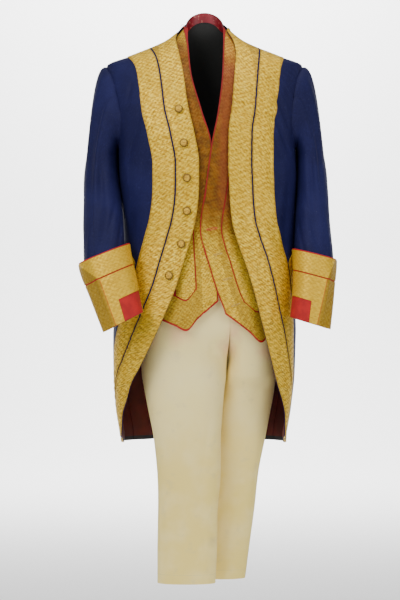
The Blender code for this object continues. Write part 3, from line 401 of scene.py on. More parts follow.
def clothPiece(name, points, normals, wall, material, restsOn=(), lift=0.0, within=None,
               keep=None, strip=None):
    # a thin wall of cloth on a grid of points, lifted off what it lies on and cut to the kept cells; within
    # is its inner face's own material, strip a cut's added length and its spread to the rectangle round it
    rows, columns = points.shape[:2]
    outer = points + normals * (lift + (wall if lift else 0))
    inner = outer - normals * wall
    keep = np.ones((rows - 1, columns - 1), bool) if keep is None else keep
    across, down = runs(points)
    start = int(np.argmax(keep[0]))
    bm = bmesh.new()
    cloth = bm.verts.layers.float_vector.new("cloth")
    place = bm.verts.layers.int.new("place")
    bmesh.ops.create_grid(bm, x_segments=columns - 1, y_segments=rows - 1, size=1)
    for vert in bm.verts:
        i = round((1 - vert.co.y) / 2 * (rows - 1))
        j = round((vert.co.x + 1) / 2 * (columns - 1))
        vert.co = outer[i, j]
        vert[cloth] = (across[i, j] - across[i, start], down[i, j], 0)
        vert[place] = i * columns + j
    gone = []
    for face in bm.faces if not keep.all() else ():
        spots = [divmod(vert[place], columns) for vert in face.verts]
        if not keep[min(spot[0] for spot in spots), min(spot[1] for spot in spots)]:
            gone.append(face)
    bmesh.ops.delete(bm, geom=gone, context="FACES")
    made = bmesh.ops.extrude_face_region(bm, geom=bm.faces[:], use_keep_orig=True)
    for item in made["geom"]:
        if isinstance(item, bmesh.types.BMVert):
            item.co = inner[divmod(item[place], columns)]
        elif isinstance(item, bmesh.types.BMFace) and within:
            item.material_index = 1
    bm.verts.layers.int.remove(place)
    thing = finish(name, bm, material, second=within)
    slants = np.cross(points[1:, 1:] - points[:-1, :-1], points[1:, :-1] - points[:-1, 1:])
    area = float(np.sum(np.linalg.norm(slants, axis=-1) * keep)) / 2
    width, length = float(across[:, -1].max()), float(down[-1].max())
    if strip:
        length = round(length + strip["more"], 3)
        width = round(area / length * strip["spread"], 3)
    else:
        area = min(area, width * length)
        width, length = (round(value + 0.0005, 3) for value in (width, length))
    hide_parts(re.sub("([A-Z])", r"_\1", name).lower().replace("cuff_cloth", "cuff"))


class Sock:
    # a node socket with arithmetic on it
    def __init__(self, net, socket):
        self.net = net
        self.socket = socket

    def maths(self, operation, *others):
        return self.net.maths(operation, self, *others)

    def __add__(self, other):
        return self.maths("ADD", other)

    def __sub__(self, other):
        return self.maths("SUBTRACT", other)

    def __rsub__(self, other):
        return self.net.maths("SUBTRACT", other, self)

    def __mul__(self, other):
        return self.maths("MULTIPLY", other)

    def __truediv__(self, other):
        return self.maths("DIVIDE", other)

    __radd__ = __add__

    def wave(self, period):
        return (self * (math.tau / period)).maths("SINE")

    def step(self, low, high):
        # 0 below low and 1 above high, smooth between; low may be the larger
        made = self.net.node("ShaderNodeMapRange", {"interpolation_type": "SMOOTHSTEP"},
                             {"Value": self, "From Min": low, "From Max": high})
        return self.net.out(made, "Result")

    def band(self, middle, half, soft):
        away = (self - middle).maths("ABSOLUTE")
        return away.step(half + soft, half)


class Net:
    # the node tree of one material
    def __init__(self, name, roughness=0.6, metallic=0.0, sheen=0.0, sheenColour=(1, 1, 1)):
        self.material = bpy.data.materials.new(name)
        self.material.use_nodes = True
        self.tree = self.material.node_tree
        self.shader = self.tree.nodes["Principled BSDF"]
        for key, value in (("Roughness", roughness), ("Metallic", metallic), ("Sheen Weight", sheen),
                           ("Sheen Roughness", 0.4), ("Sheen Tint", sheenColour + (1,))):
            self.shader.inputs[key].default_value = value
        place = self.node("ShaderNodeTexCoord")
        self.place = self.out(place, "Object")
        self.x, self.y, self.z = self.split(self.place)
        self.height = None

    def node(self, kind, settings=None, inputs=None):
        made = self.tree.nodes.new(kind)
        for key, value in (settings or {}).items():
            setattr(made, key, value)
        for key, value in (inputs or {}).items():
            self.feed(made.inputs[key], value)
        return made

    def feed(self, socket, value):
        if isinstance(value, Sock):
            self.tree.links.new(value.socket, socket)
        else:
            socket.default_value = value

    def out(self, node, name):
        return Sock(self, node.outputs[name])

    def maths(self, operation, *values):
        made = self.node("ShaderNodeMath", {"operation": operation}, dict(enumerate(values)))
        return self.out(made, "Value")

    def split(self, vector):
        made = self.node("ShaderNodeSeparateXYZ", None, {0: vector})
        return [self.out(made, name) for name in "XYZ"]

    def join(self, x, y, z=0.0):
        return self.out(self.node("ShaderNodeCombineXYZ", None, {0: x, 1: y, 2: z}), "Vector")

    def cloth(self):
        # distances across a panel and down it
        made = self.node("ShaderNodeAttribute", {"attribute_name": "cloth"})
        return self.split(self.out(made, "Vector"))[:2]

    def noise(self, scale, detail=2.0, vector=None, roughness=0.5):
        made = self.node("ShaderNodeTexNoise", None, {"Vector": vector or self.place, "Scale": scale,
                                                      "Detail": detail, "Roughness": roughness})
        return self.out(made, "Fac")

    def spot(self, x, z, width, height):
        # distance from a place in the front view, in parts of a spot's width and height
        made = self.node("ShaderNodeVectorMath", {"operation": "LENGTH"},
                         {0: self.join((self.x - x) / width, (self.z - z) / height)})
        return self.out(made, "Value")

    def mix(self, factor, first, second):
        made = self.node("ShaderNodeMix", {"data_type": "RGBA"})
        for socket, value in ((made.inputs[0], factor), (made.inputs[6], first), (made.inputs[7], second)):
            self.feed(socket, value + (1,) if isinstance(value, tuple) else value)
        return Sock(self, made.outputs[2])

    def colour(self, value):
        self.feed(self.shader.inputs["Base Color"], value)

    def rough(self, value):
        self.feed(self.shader.inputs["Roughness"], value)

    def bump(self, height, distance, strength=1.0):
        inputs = {"Height": height, "Distance": distance, "Strength": strength}
        if self.height is not None:
            inputs["Normal"] = self.height
        self.height = self.out(self.node("ShaderNodeBump", None, inputs), "Normal")
        self.feed(self.shader.inputs["Normal"], self.height)


def blueCloth():
    net = Net("blueCloth", roughness=0.55, sheen=0.02, sheenColour=(0.3, 0.36, 0.8))
    net.shader.inputs["Specular IOR Level"].default_value = 0.10
    across, down = net.cloth()
    patch = net.noise(9, 3).step(0.35, 0.7)
    colour = net.mix(patch, (0.0068, 0.0072, 0.040), (0.0110, 0.0120, 0.062))
    fleck = net.noise(1.0, 2, net.join(across * 800, down * 240)).step(0.45, 0.8)
    colour = net.mix(fleck * 0.4, colour, (0.026, 0.030, 0.12))
    lint = net.noise(260, 2).step(0.70, 0.76)
    net.colour(net.mix(lint * 0.15, colour, (0.16, 0.16, 0.22)))
    net.rough(0.54 + patch * 0.1)
    net.bump(net.noise(26, 2), 0.0012, 0.5)
    net.bump(fleck + net.noise(700, 1) * 0.8, 0.00012, 0.7)
    return net.material


def goldLace(name, width, shade=None, dust=0.5):
    # woven metal lace: uneven cross ribs with painted highlight and shade, a fine leaf and dot figure, dark
    # threads and wear
    net = Net(name, roughness=0.5, metallic=0.5)
    net.shader.inputs["Specular IOR Level"].default_value = 0.3
    across, down = net.cloth()
    rib = net.noise(1.0, 4, net.join(across * 60, down * 360), 0.62)
    sway = net.noise(60, 2) * 0.004
    leaf = ((across + sway) * (math.tau / width * 4)).maths("COSINE") * (down + sway).wave(width * 0.22)
    figure = (leaf * 0.35 + net.noise(150, 3) * 1.7 - 0.85).step(-0.3, 0.35)
    border = net.maths("MINIMUM", across, width - across).step(0.0034, 0.0020)
    broad = net.noise(14, 3).step(0.38, 0.66)
    colour = net.mix(figure, (0.50, 0.270, 0.006), (0.84, 0.56, 0.028))
    colour = net.mix(broad * 0.45, colour, (0.70, 0.42, 0.016))
    # painted highlight on the rib tops and painted shade in the hollows between them
    colour = net.mix(rib.step(0.50, 0.68) * 0.60, colour, (0.96, 0.75, 0.12))
    colour = net.mix(rib.step(0.48, 0.33) * 0.55, colour, (0.26, 0.130, 0.004))
    colour = net.mix(net.noise(330, 2).step(0.57, 0.68) * 0.55, colour, (0.20, 0.090, 0.006))
    streak = net.noise(1.0, 3, net.join(across * 60, down * 420)).step(0.55, 0.66)
    wear = net.z.step(-0.36, -0.66) * dust + 0.20
    colour = net.mix(streak * wear, colour, (0.075, 0.038, 0.018))
    colour = net.mix(border * 0.45, colour, (0.26, 0.14, 0.010))
    if shade:
        colour = shade(net, colour)
    net.colour(colour)
    net.rough(0.46 + (1 - figure) * 0.16 + streak * 0.15)
    net.bump(figure + net.noise(95, 2) * 0.6, 0.00045, 0.6)
    net.bump(rib * 1.6, 0.00030, 0.8)
    return net.material


def redCloth(name="redCloth", dark=0.0):
    net = Net(name, roughness=0.8, sheen=0.03, sheenColour=(1, 0.3, 0.2))
    patch = net.noise(60, 3).step(0.35, 0.7)
    colour = net.mix(patch, (0.31, 0.0008, 0.0005), (0.42, 0.0024, 0.0012))
    # painted shade: the upper part darkens by the given share where the coat shades the waistcoat
    if dark:
        colour = net.mix(net.z.step(-0.50, -0.30) * dark, colour, (0.16, 0.005, 0.003))
    net.colour(colour)
    net.bump(net.noise(900, 2), 0.0002, 0.7)
    return net.material


def crimsonSilk():
    net = Net("crimsonSilk", roughness=0.45, sheen=0.05, sheenColour=(1, 0.4, 0.45))
    worn = (net.noise(120, 3).step(0.56, 0.68) * net.noise(30, 2).step(0.45, 0.62))
    colour = net.mix(net.noise(40, 2).step(0.3, 0.7), (0.17, 0.0010, 0.007), (0.26, 0.002, 0.013))
    net.colour(net.mix(worn * 0.65, colour, (0.62, 0.26, 0.17)))
    net.bump(net.noise(500, 2), 0.0002, 0.6)
    return net.material


def liningCloth():
    net = Net("liningCloth", roughness=0.7)
    patch = net.noise(24, 4).step(0.35, 0.7)
    colour = net.mix(patch, (0.060, 0.0012, 0.0009), (0.095, 0.0022, 0.0016))
    colour = net.mix(net.noise(300, 2).step(0.6, 0.75) * 0.4, colour, (0.045, 0.004, 0.005))
    # a near-black band along the lining's bottom edge
    darkHemBand = net.z.step(-0.957, -0.959)
    net.colour(net.mix(darkHemBand, colour, (0.012, 0.012, 0.020)))
    net.bump(net.noise(16, 2), 0.002, 0.5)
    net.bump(net.noise(800, 1), 0.0002, 0.6)
    return net.material


def blackCloth():
    net = Net("blackCloth", roughness=0.85)
    net.colour(net.mix(net.noise(500, 2), (0.010, 0.0105, 0.010), (0.018, 0.018, 0.016)))
    net.bump(net.noise(900, 1), 0.0002, 0.6)
    return net.material


def creamWool(name="creamWool", seamLine=False):
    net = Net(name, roughness=0.88, sheen=0.12, sheenColour=(1, 0.95, 0.85))
    across, down = net.cloth()
    low = net.z.step(-0.80, -1.10)
    colour = net.mix(low, (0.96, 0.79, 0.32), (0.86, 0.67, 0.18))
    colour = net.mix(net.noise(13, 3).step(0.40, 0.68) * 0.35, colour, (0.96, 0.82, 0.42))
    colour = net.mix(net.noise(34, 3).step(0.58, 0.72) * 0.22, colour, (0.62, 0.50, 0.27))
    for x, z, size in ((0.055, -0.735, 0.035), (0.070, -0.700, 0.030), (-0.060, -0.705, 0.040),
                       (0.145, -0.745, 0.030), (-0.130, -0.720, 0.030)):
        reach = net.spot(x, z, size, size) + net.noise(45, 2) * 0.8
        colour = net.mix(reach.step(1.5, 0.35) * 0.36, colour, (0.80, 0.30, 0.22))
    stain = net.spot(0.018, -1.195, 0.014, 0.02)
    colour = net.mix((stain + net.noise(90, 2) * 0.8).step(1.5, 0.4) * 0.3, colour, (0.42, 0.30, 0.12))
    stitch = net.x.wave(0.0034).step(-0.2, 0.3) * (net.z + 1.274).band(0, 0.0005, 0.0004)
    colour = net.mix(stitch * 0.5, colour, (0.50, 0.42, 0.26))
    crease = (net.z + 1.270).band(0, 0.0006, 0.0012)
    if seamLine:
        seam = across.band(0.0095, 0.0005, 0.0010)
        colour = net.mix(seam * 0.60, colour, (0.42, 0.34, 0.18))
        crease = crease + seam
    net.colour(colour)
    weave = across.wave(0.0010) * 0.5 + (down.wave(0.0010)) * 0.5
    net.bump(net.noise(17, 2), 0.0022, 0.35)
    net.bump(1 - crease, 0.0006, 0.5)
    net.bump(weave * 0.6 + net.noise(750, 2), 0.00016, 0.6)
    return net.material


def buttonCover():
    net = Net("buttonCover", roughness=0.45, metallic=0.3)
    edge = net.out(net.node("ShaderNodeAttribute", {"attribute_name": "edge"}), "Fac")
    weave = net.x.wave(0.0013) * 0.5 + net.z.wave(0.0013) * 0.5
    colour = net.mix(net.noise(350, 2).step(0.35, 0.7), (0.42, 0.21, 0.006), (0.74, 0.47, 0.032))
    colour = net.mix(net.noise(160, 2).step(0.6, 0.7) * 0.5, colour, (0.26, 0.14, 0.01))
    # painted shade: the dome darkens towards its rim, and the shank and underside are near black
    net.colour(net.mix(edge.step(0.50, 0.98) * 0.92, colour, (0.075, 0.036, 0.006)))
    net.bump(weave + net.noise(500, 2), 0.0002, 0.8)
    return net.material


def darkWire():
    net = Net("darkWire", roughness=0.4, metallic=1.0)
    net.colour(net.mix(net.noise(600, 2), (0.05, 0.045, 0.05), (0.16, 0.14, 0.13)))
    net.rough(0.35 + net.noise(400, 2) * 0.3)
    return net.material


def threadCloth(name, colour, light):
    net = Net(name, roughness=0.6)
    net.colour(net.mix(net.noise(700, 2).step(0.3, 0.7), colour, light))
    net.bump(net.noise(1500, 1), 0.0001, 0.6)
    return net.material


# the cuffs' fold in the front view: distance aside, height, lean of the fold and of the crease above it
cuffFold = {"right": (0.2407, -0.578, 0.370, 0.664), "left": (0.2861, -0.574, 0.241, 2.180)}


def cuffShade(net, colour):
    # painted light and shade on the front cuff lace: all lifted brighter, and painted shade on the outer
    # face past its fold, which has a red edge
    aside, left = net.x.maths("ABSOLUTE"), net.x.step(-0.01, 0.01)
    foldAside, foldHeight, lean, rise = (left * (second - first) + first
                                         for first, second in zip(cuffFold["right"], cuffFold["left"]))
    # painted light: the front cuff lace is lifted brighter and yellower to make up for the light it misses
    colour = net.mix(0.35, colour, (0.90, 0.56, 0.016))
    drop = net.z - foldHeight
    past = aside - foldAside - drop * lean
    under = (aside - foldAside) * rise - drop
    # painted shade on the turned-back cuff's outer face past its fold
    outer = past.step(-0.0005, 0.0012) * under.step(-0.001, 0.002)
    colour = net.mix(outer * 0.62, colour, (0.17, 0.085, 0.006))
    edge = past.band(0, 0.0004, 0.0006) * drop.step(0, -0.003)
    return net.mix(edge * 0.85, colour, (0.46, 0.045, 0.006))


def waistcoatShade(net, colour):
    # painted shade: where the coat shades it the lace is painted orange brown, yellower towards the hem and
    # near the neck
    shade = (net.z + net.x.maths("ABSOLUTE") * 0.25 + net.noise(22, 2) * 0.06).step(-0.50, -0.36)
    shade = shade * (net.z + net.x * 0.5).step(0.020, -0.060)
    brown = net.mix(net.noise(60, 3).step(0.35, 0.68), (0.10, 0.020, 0.0015), (0.20, 0.056, 0.004))
    colour = net.mix(shade * 0.90, colour, brown)
    # painted shade on the upper lace on the wearer's left side
    side = net.x.step(0.020, 0.048) * net.z.step(-0.48, -0.36)
    return net.mix(side * 0.55, colour, (0.26, 0.050, 0.014))


blue = blueCloth()
red = redCloth()
redShade = redCloth("redShade", 0.45)
crimson = crimsonSilk()
lining = liningCloth()
black = blackCloth()
cream = creamWool()
creamSeam = creamWool("creamSeam", True)
coatLace = goldLace("coatLace", 0.053)
waistcoatLace = goldLace("waistcoatLace", 0.046, waistcoatShade, 0.35)
cover = buttonCover()
wire = darkWire()
redThread = threadCloth("redThread", (0.45, 0.03, 0.012), (0.72, 0.10, 0.03))
print("stage materials", flush=True)

coat = {"wall": 0.002, "lace": 0.0012, "lining": 0.001, "flap": 0.002, "times": 9,
        "laceWidth": 0.053, "hemDrop": 0.023, "flapCorner": 0.32, "split": 0.004, "spread": 26,
        "laceColumns": 13, "facingRows": (1, 9), "facingColumns": 5, "flapRows": (12, 14),
        "flapShare": 4 / 6, "liningRow": 15, "armholeRow": 8,
        "neckHeights": (0.024, 0.056), "backSteps": (14, 20)}
# creases of the coat's fronts and backs in the front view: start x, z, end x, z, width, rise
coatCreases = {
    "left": inMetres((
        (166, -85, 205, -150, 4.5, -2.2), (158, -118, 200, -205, 5.5, -3),
        (153, -150, 190, -245, 5.5, -2.6), (176, -70, 215, -110, 4, -1.8),
        (150, -185, 178, -290, 6, -2.2), (146, -265, 170, -400, 7, -1.6), (190, -300, 180, -440, 7, 1.6),
        (160, -430, 185, -560, 8, -1.6), (185, -640, 200, -900, 10, 2))),
    "right": inMetres((
        (-168, -110, -195, -190, 6, -2.2), (-150, -190, -180, -300, 7, -2),
        (-140, -290, -165, -430, 7.5, -1.8), (-185, -280, -172, -420, 6.5, 1.4),
        (-150, -440, -180, -560, 8, -1.4), (-190, -650, -205, -900, 10, 2.2)))}
backCreases = {
    "left": inMetres((
        (175, -110, 120, -230, 8, -3), (185, -170, 110, -300, 9, -2.6), (180, -330, 60, -420, 8, -2.2),
        (165, -370, 40, -440, 7, 1.8), (60, -470, 75, -900, 12, -4), (120, -500, 140, -930, 12, 3))),
    "right": inMetres((
        (-178, -120, -118, -240, 8, -2.8), (-182, -180, -105, -290, 8, -2.8),
        (-176, -340, -55, -415, 8, -2), (-160, -385, -45, -450, 7, 2), (-55, -480, -70, -910, 12, -3.8),
        (-125, -510, -135, -930, 12, 3.4)))}
# cross puckers of the lace: side, first and last height, spacing, rise
lacePuckers = inMetres((
    ("left", -20, -400, 19, 1.2), ("left", -300, -720, 25, 0.6), ("right", -100, -550, 27, 0.5),
    ("right", -500, -930, 23, 0.65)))


def puckered(points, side, width):
    # low cross ridges over the lace's columns, slanting and fading out past them
    normals = gridNormals(points)
    across, down = runs(points)
    total = np.zeros(points.shape[:2])
    height = points[..., 2]
    for wanted, top, low, spacing, rise in lacePuckers:
        if wanted == side:
            fade = ease(top + 0.02, top - 0.05, height) * ease(low - 0.02, low + 0.08, height)
            sway = np.sin(height * 61) * 1.2 + np.sin(height * 23 + across * 30) * 1.6
            wave = np.sin(math.tau * (height + across * 0.42) / spacing + sway)
            total += rise * fade * wave * ease(width, width * 0.9, across) * ease(0, 0.004, across)
    return points + normals * total[..., None]


def roundedTop(grid, drops):
    # the grid with its top edge lowered by a share of its length in each column
    places = drops + np.linspace(0, 1, len(grid))[:, None] * (1 - drops)
    rows = np.clip(places * (len(grid) - 1), 0, len(grid) - 1.001)
    low = rows.astype(int)
    part = (rows - low)[..., None]
    columns = np.arange(grid.shape[1])[None, :]
    return grid[low, columns] * (1 - part) + grid[low + 1, columns] * part


def coatHeights(distance):
    # the hem drops behind its front corner
    return coatRows[:-1] + (coatRows[-1] - coat["hemDrop"] * float(ease(0, 0.1, distance)),)


def buildCoatFront(side):
    times, width, split, across = (coat[key] for key in ("times", "laceWidth", "split", "laceColumns"))
    inner = list(np.linspace(0, width, across))
    outer = list(np.linspace(width + split, 2 * width + split, across))
    angles, heights = frontGrid(coatCut, side, inner + outer, coat["spread"], coatHeights, times)
    points = surfaceGrid(coatPoints, side, angles, heights)
    points = puckered(creased(points, coatCreases[side]), side, 2 * width + split)
    normals = gridNormals(points)
    front = "coatFront_" + side
    clothPiece(front, trimmed(points, top=True, last=True), normals, coat["wall"], blue,
               restsOn=["waistcoat_front_" + side], within=lining)
    bare = trimmed(points, top=True)
    for row, columns in (("Edge_", np.s_[:, :across]), ("Inner_", np.s_[:, across:2 * across])):
        clothPiece("coatLace" + row + side, bare[columns], normals[columns], coat["lace"], coatLace,
                   restsOn=[front], lift=seamGap)
    inside = points - normals * coat["wall"]
    top, low = (row * times for row in coat["facingRows"])
    strip = np.s_[top:low + 1, :coat["facingColumns"]]
    clothPiece("coatFacing_" + side, inside[strip] - normals[strip] * (seamGap + coat["lining"]),
               -normals[strip], coat["lining"], crimson, restsOn=[front])
    # the flap starts a whole seam's gap behind the lace
    top, low = (row * times for row in coat["flapRows"])
    block = np.s_[top:low + 1, 2 * across:2 * across + round(coat["spread"] * coat["flapShare"])]
    flap = trimmed(trimmed(points[block], first=True), first=True)
    drops = coat["flapCorner"] * np.linspace(1, 0, flap.shape[1])[None, :] ** 3
    clothPiece("pocketFlap_" + side, roundedTop(flap, drops), roundedTop(normals[block], drops),
               coat["flap"], coatLace, restsOn=[front], lift=seamGap)
    return points, inside


def buildCoatBack(side):
    times, neckSteps = coat["times"], coat["backSteps"][0]
    angles, heights = backGrid(coatCut, coat["neckHeights"], coat["backSteps"],
                               coatRing.at(coatCut["tip"], "halfWidth"), coatHeights(1), times)
    points = creased(surfaceGrid(coatPoints, side, angles, heights), backCreases[side])
    normals = gridNormals(points)
    wall = trimmed(points, first=True, last=True)
    wall[0, neckSteps:] += unit(points[1, neckSteps:] - points[0, neckSteps:]) * seamGap / 2
    clothPiece("coatBack_" + side, wall, normals, coat["wall"], blue, restsOn=["waistcoat_back"],
               within=lining)
    inside = points - normals * coat["wall"]
    skirt = np.s_[coat["liningRow"] * times:]
    cloth = trimmed(inside[skirt], first=True, last=True)
    clothPiece("skirtLining_" + side, cloth - normals[skirt] * (seamGap + coat["lining"]), -normals[skirt],
               coat["lining"], lining, restsOn=["coatBack_" + side])
    return points, inside


armholes = {}
for side in sides:
    last = coat["armholeRow"] * coat["times"] + 1
    panels = buildCoatFront(side), buildCoatBack(side)
    armholes[side] = [(outer[:last, -1], inside[:last, -1]) for outer, inside in panels]
print("stage coat body", flush=True)

sleeve = {"wall": 0.002, "columns": 72, "capRows": 26, "rows": 74, "capSpread": 0.35,
          "gap": 0.0006, "underarmLift": 0.004,
          "seams": {"right": (68.48, 302.03), "left": (68.11, 302.30)}}
# finer creases of the sleeves: side, top height, low height, top angle, low angle, width, rise
sleeveCreases = inMetres((
    ("left", -80, -330, 62, 80, 6, -2.8), ("left", -90, -300, 36, 30, 7, 2.2),
    ("left", -180, -430, 88, 100, 7, -2.2), ("left", -360, -560, 130, 60, 8, -2.6),
    ("left", -400, -600, 60, 20, 8, 2.2), ("left", -420, -560, 160, 110, 8, -2.4),
    ("left", -300, -500, 200, 230, 9, -3), ("left", -360, -560, 250, 300, 9, -2.8),
    ("left", -120, -360, 300, 320, 8, -2.4), ("left", -230, -540, 10, 14, 7, 2.4),
    ("right", -80, -340, 60, 66, 6, -2.6), ("right", -100, -320, 32, 24, 7, 2),
    ("right", -200, -460, 86, 96, 7, -2.4), ("right", -380, -570, 140, 70, 8, -3),
    ("right", -420, -600, 66, 30, 8, 2), ("right", -430, -560, 165, 120, 8, -2.6),
    ("right", -310, -500, 205, 236, 9, -2.8), ("right", -370, -570, 255, 310, 9, -3),
    ("right", -130, -350, 296, 316, 8, -2.6), ("right", -240, -540, 2, 10, 7, 2.2),
    ("right", -160, -420, 207, 207, 14, 6.2), ("left", -160, -430, 207, 207, 14, 6.2),
    ("left", -370, -570, 205, 205, 14, 5.8)), (3, 4, 5))


def sleeveFold(side, angles, height, table):
    total = angles * 0.0
    for foldSide, top, low, topAngle, lowAngle, width, rise in table:
        if foldSide == side:
            along = (top - height) / (top - low)
            away = (angles - topAngle - (lowAngle - topAngle) * along + 180) % 360 - 180
            fade = ease(0, 0.3, along) * ease(1, 0.7, along)
            total = total + rise * fade * np.exp(-(away / width) ** 2)
    return total


def sleeveSection(side, height, angles, grow=0.0):
    # a ring of the sleeve tube: angle 0 faces out, 90 the front and 180 the body
    out, forward, half, depth, tilt = sleeveTables[side].row(height)
    turn = np.radians(angles)
    fold = sleeveFold(side, angles, height, sleeveFolds)
    reach = (half + grow + fold) * power(np.cos(turn), 2 / sleevePower)
    front = (depth + grow + fold) * power(np.sin(turn), 2 / sleevePower)
    lean = math.radians(tilt)
    return np.stack((sides[side] * (out + reach * math.cos(lean)), -forward - front,
                     height - reach * math.sin(lean)), axis=-1)


def alongLine(points, parts):
    travelled = np.concatenate(([0], np.cumsum(np.linalg.norm(np.diff(points, axis=0), axis=1))))
    travelled /= travelled[-1]
    return np.stack([np.interp(parts, travelled, points[:, k]) for k in range(3)], axis=-1)


def armholeRing(edges, angles):
    front, back = edges
    ahead = alongLine(front, np.clip(angles / 180, 0, 1))
    behind = alongLine(back[::-1], np.clip(angles / 180 - 1, 0, 1))
    return np.where((angles <= 180)[:, None], ahead, behind)


def buildSleeve(side):
    (front, frontInside), (back, backInside) = armholes[side]
    seamFront, seamBack = sleeve["seams"][side]
    count = sleeve["columns"]
    underCount = round(count * (seamBack - seamFront) / 360)
    angles = np.concatenate((np.linspace(seamFront, seamBack, underCount + 1),
                             np.linspace(seamBack, seamFront + 360, count - underCount + 1)[1:-1] % 360))
    loop = armholeRing((front, back), angles)
    loopInside = armholeRing((frontInside, backInside), angles)
    table = sleeveTables[side]
    high, low = table.key[-1], table.key[0]
    capEnd = sleeveSection(side, high, angles)
    edgeNormal = unit(loop - loopInside)
    into = loop.mean(axis=0) - loop
    into = unit(into - np.sum(into * edgeNormal, axis=-1, keepdims=True) * edgeNormal)
    rows = [loop + into * sleeve["gap"]]
    for step in np.linspace(0, 1, sleeve["capRows"] + 1)[1:] ** 1.8:
        spread = step ** sleeve["capSpread"]
        lift = into * np.maximum(into[:, 2:], 0) * sleeve["underarmLift"] * (1 - step) ** 2
        rows.append(loop + (capEnd - loop) * (spread, spread, step) + lift)
    rows += [sleeveSection(side, high + (low - high) * k / sleeve["rows"], angles)
             for k in range(1, sleeve["rows"] + 1)]
    points = np.array(rows)
    shift = np.array([sleeveFold(side, angles, row[:, 2].mean(), sleeveCreases) for row in points])
    points = points + gridNormals(points, True) * shift[..., None]
    normals = gridNormals(points, True)
    normals[0] = edgeNormal
    under = np.arange(underCount + 1)
    top = np.arange(underCount, count + 1) % count
    for name, columns in (("topSleeve_", top), ("underSleeve_", under)):
        clothPiece(name + side, trimmed(points[:, columns], first=True, last=True), normals[:, columns],
                   sleeve["wall"], blue)


cuff = {"wall": 0.002, "lace": 0.0012, "ease": 0.0009, "height": {"right": 0.160, "left": 0.163},
        "flare": {"right": 0.0100, "left": 0.0045}, "steps": (0, 0.31, 0.67, 0.69, 0.98, 1), "times": 6,
        "bare": {"right": (95.19, 180.0), "left": (94.67, 180.0)},
        "fold": {"right": (64, 68), "left": (46, 72)}}


def tubeNormals(points):
    # normals of a tube whose last column lies on its first
    normals = gridNormals(points[:, :-1], True)
    return np.concatenate((normals, normals[:, :1]), axis=1)


def buildCuff(side):
    low, times = sleeveTables[side].key[0], cuff["times"]
    bareStart, bareEnd = cuff["bare"][side]
    foldTop, foldLow = cuff["fold"][side]
    bareColumn, half = 20, 38
    angles = np.concatenate((finer((0, bareStart), bareColumn),
                             finer((bareStart, bareEnd), half - bareColumn)[1:], finer((180, 360), 36)[1:]))
    steps = finer(cuff["steps"], times)
    points = np.array([sleeveSection(side, low + cuff["height"][side] * step, angles,
                                     cuff["ease"] + cuff["wall"] + cuff["flare"][side] * step)
                       for step in steps])
    normals = tubeNormals(points)
    middle = foldLow + (foldTop - foldLow) * steps[:, None]
    ridge = 0.0038 * np.exp(-((angles[None, :] - middle) / 7) ** 2) * ease(1.05, 0.55, steps)[:, None]
    dip = -0.0022 * np.exp(-((angles[None, :] - middle + 26) / 14) ** 2) * ease(1.0, 0.7, steps)[:, None]
    points = points + normals * (ridge + dip)[..., None]
    normals = tubeNormals(points)
    # the hand row's front half is cut away round the bare red corner
    bare = np.ones((2 * times, half), bool)
    bare[:times, bareColumn:] = False
    for face, columns in (("front", np.s_[:, :half + 1]), ("back", np.s_[:, half:])):
        body = "cuffCloth_%s_%s" % (face, side)
        wall = trimmed(points[columns], first=True, last=True)
        clothPiece(body, wall, normals[columns], cuff["wall"], red)
        for row, block in (("Top", np.s_[3 * times:4 * times + 1]), ("Hand", np.s_[:2 * times + 1])):
            clothPiece("cuffLace%s_%s_%s" % (row, face, side), wall[block], normals[columns][block],
                       cuff["lace"], cuffLaces[row, face], [body], seamGap,
                       keep=bare if (row, face) == ("Hand", "front") else None)


# the front halves' lace carries cuffShade's painted light and shade, the back halves have none
cuffLaces = {("Top", "back"): goldLace("cuffTopLace", 0.046, None, 0.0),
             ("Top", "front"): goldLace("cuffTopFrontLace", 0.046, cuffShade, 0.0),
             ("Hand", "back"): goldLace("cuffHandLace", 0.057, None, 0.4),
             ("Hand", "front"): goldLace("cuffHandFrontLace", 0.057, cuffShade, 0.4)}
for side in sides:
    buildSleeve(side)
    buildCuff(side)
print("stage sleeves", flush=True)


def coatSpot(side, across, height):
    # a point on the coat's front and its outward normal
    angle = np.array([angleAt(coatRing, side, across, height)])
    point = coatPoints(side, angle, height)[0]
    roundWay = coatPoints(side, angle + 0.2, height)[0] - coatPoints(side, angle - 0.2, height)[0]
    upWay = coatPoints(side, angle, height + 0.001)[0] - coatPoints(side, angle, height - 0.001)[0]
    return point, unit(np.cross(roundWay, upWay) * sides[side])


button = {"radius": 0.0098, "dome": 0.0056, "shank": 0.0030, "neck": 0.0022, "rim": 0.0014,
          "pucker": 0.00022,
          "places": ((-0.180, 0.060), (-0.259, 0.048), (-0.340, 0.041), (-0.417, 0.041), (-0.494, 0.054),
                     (-0.568, 0.082))}


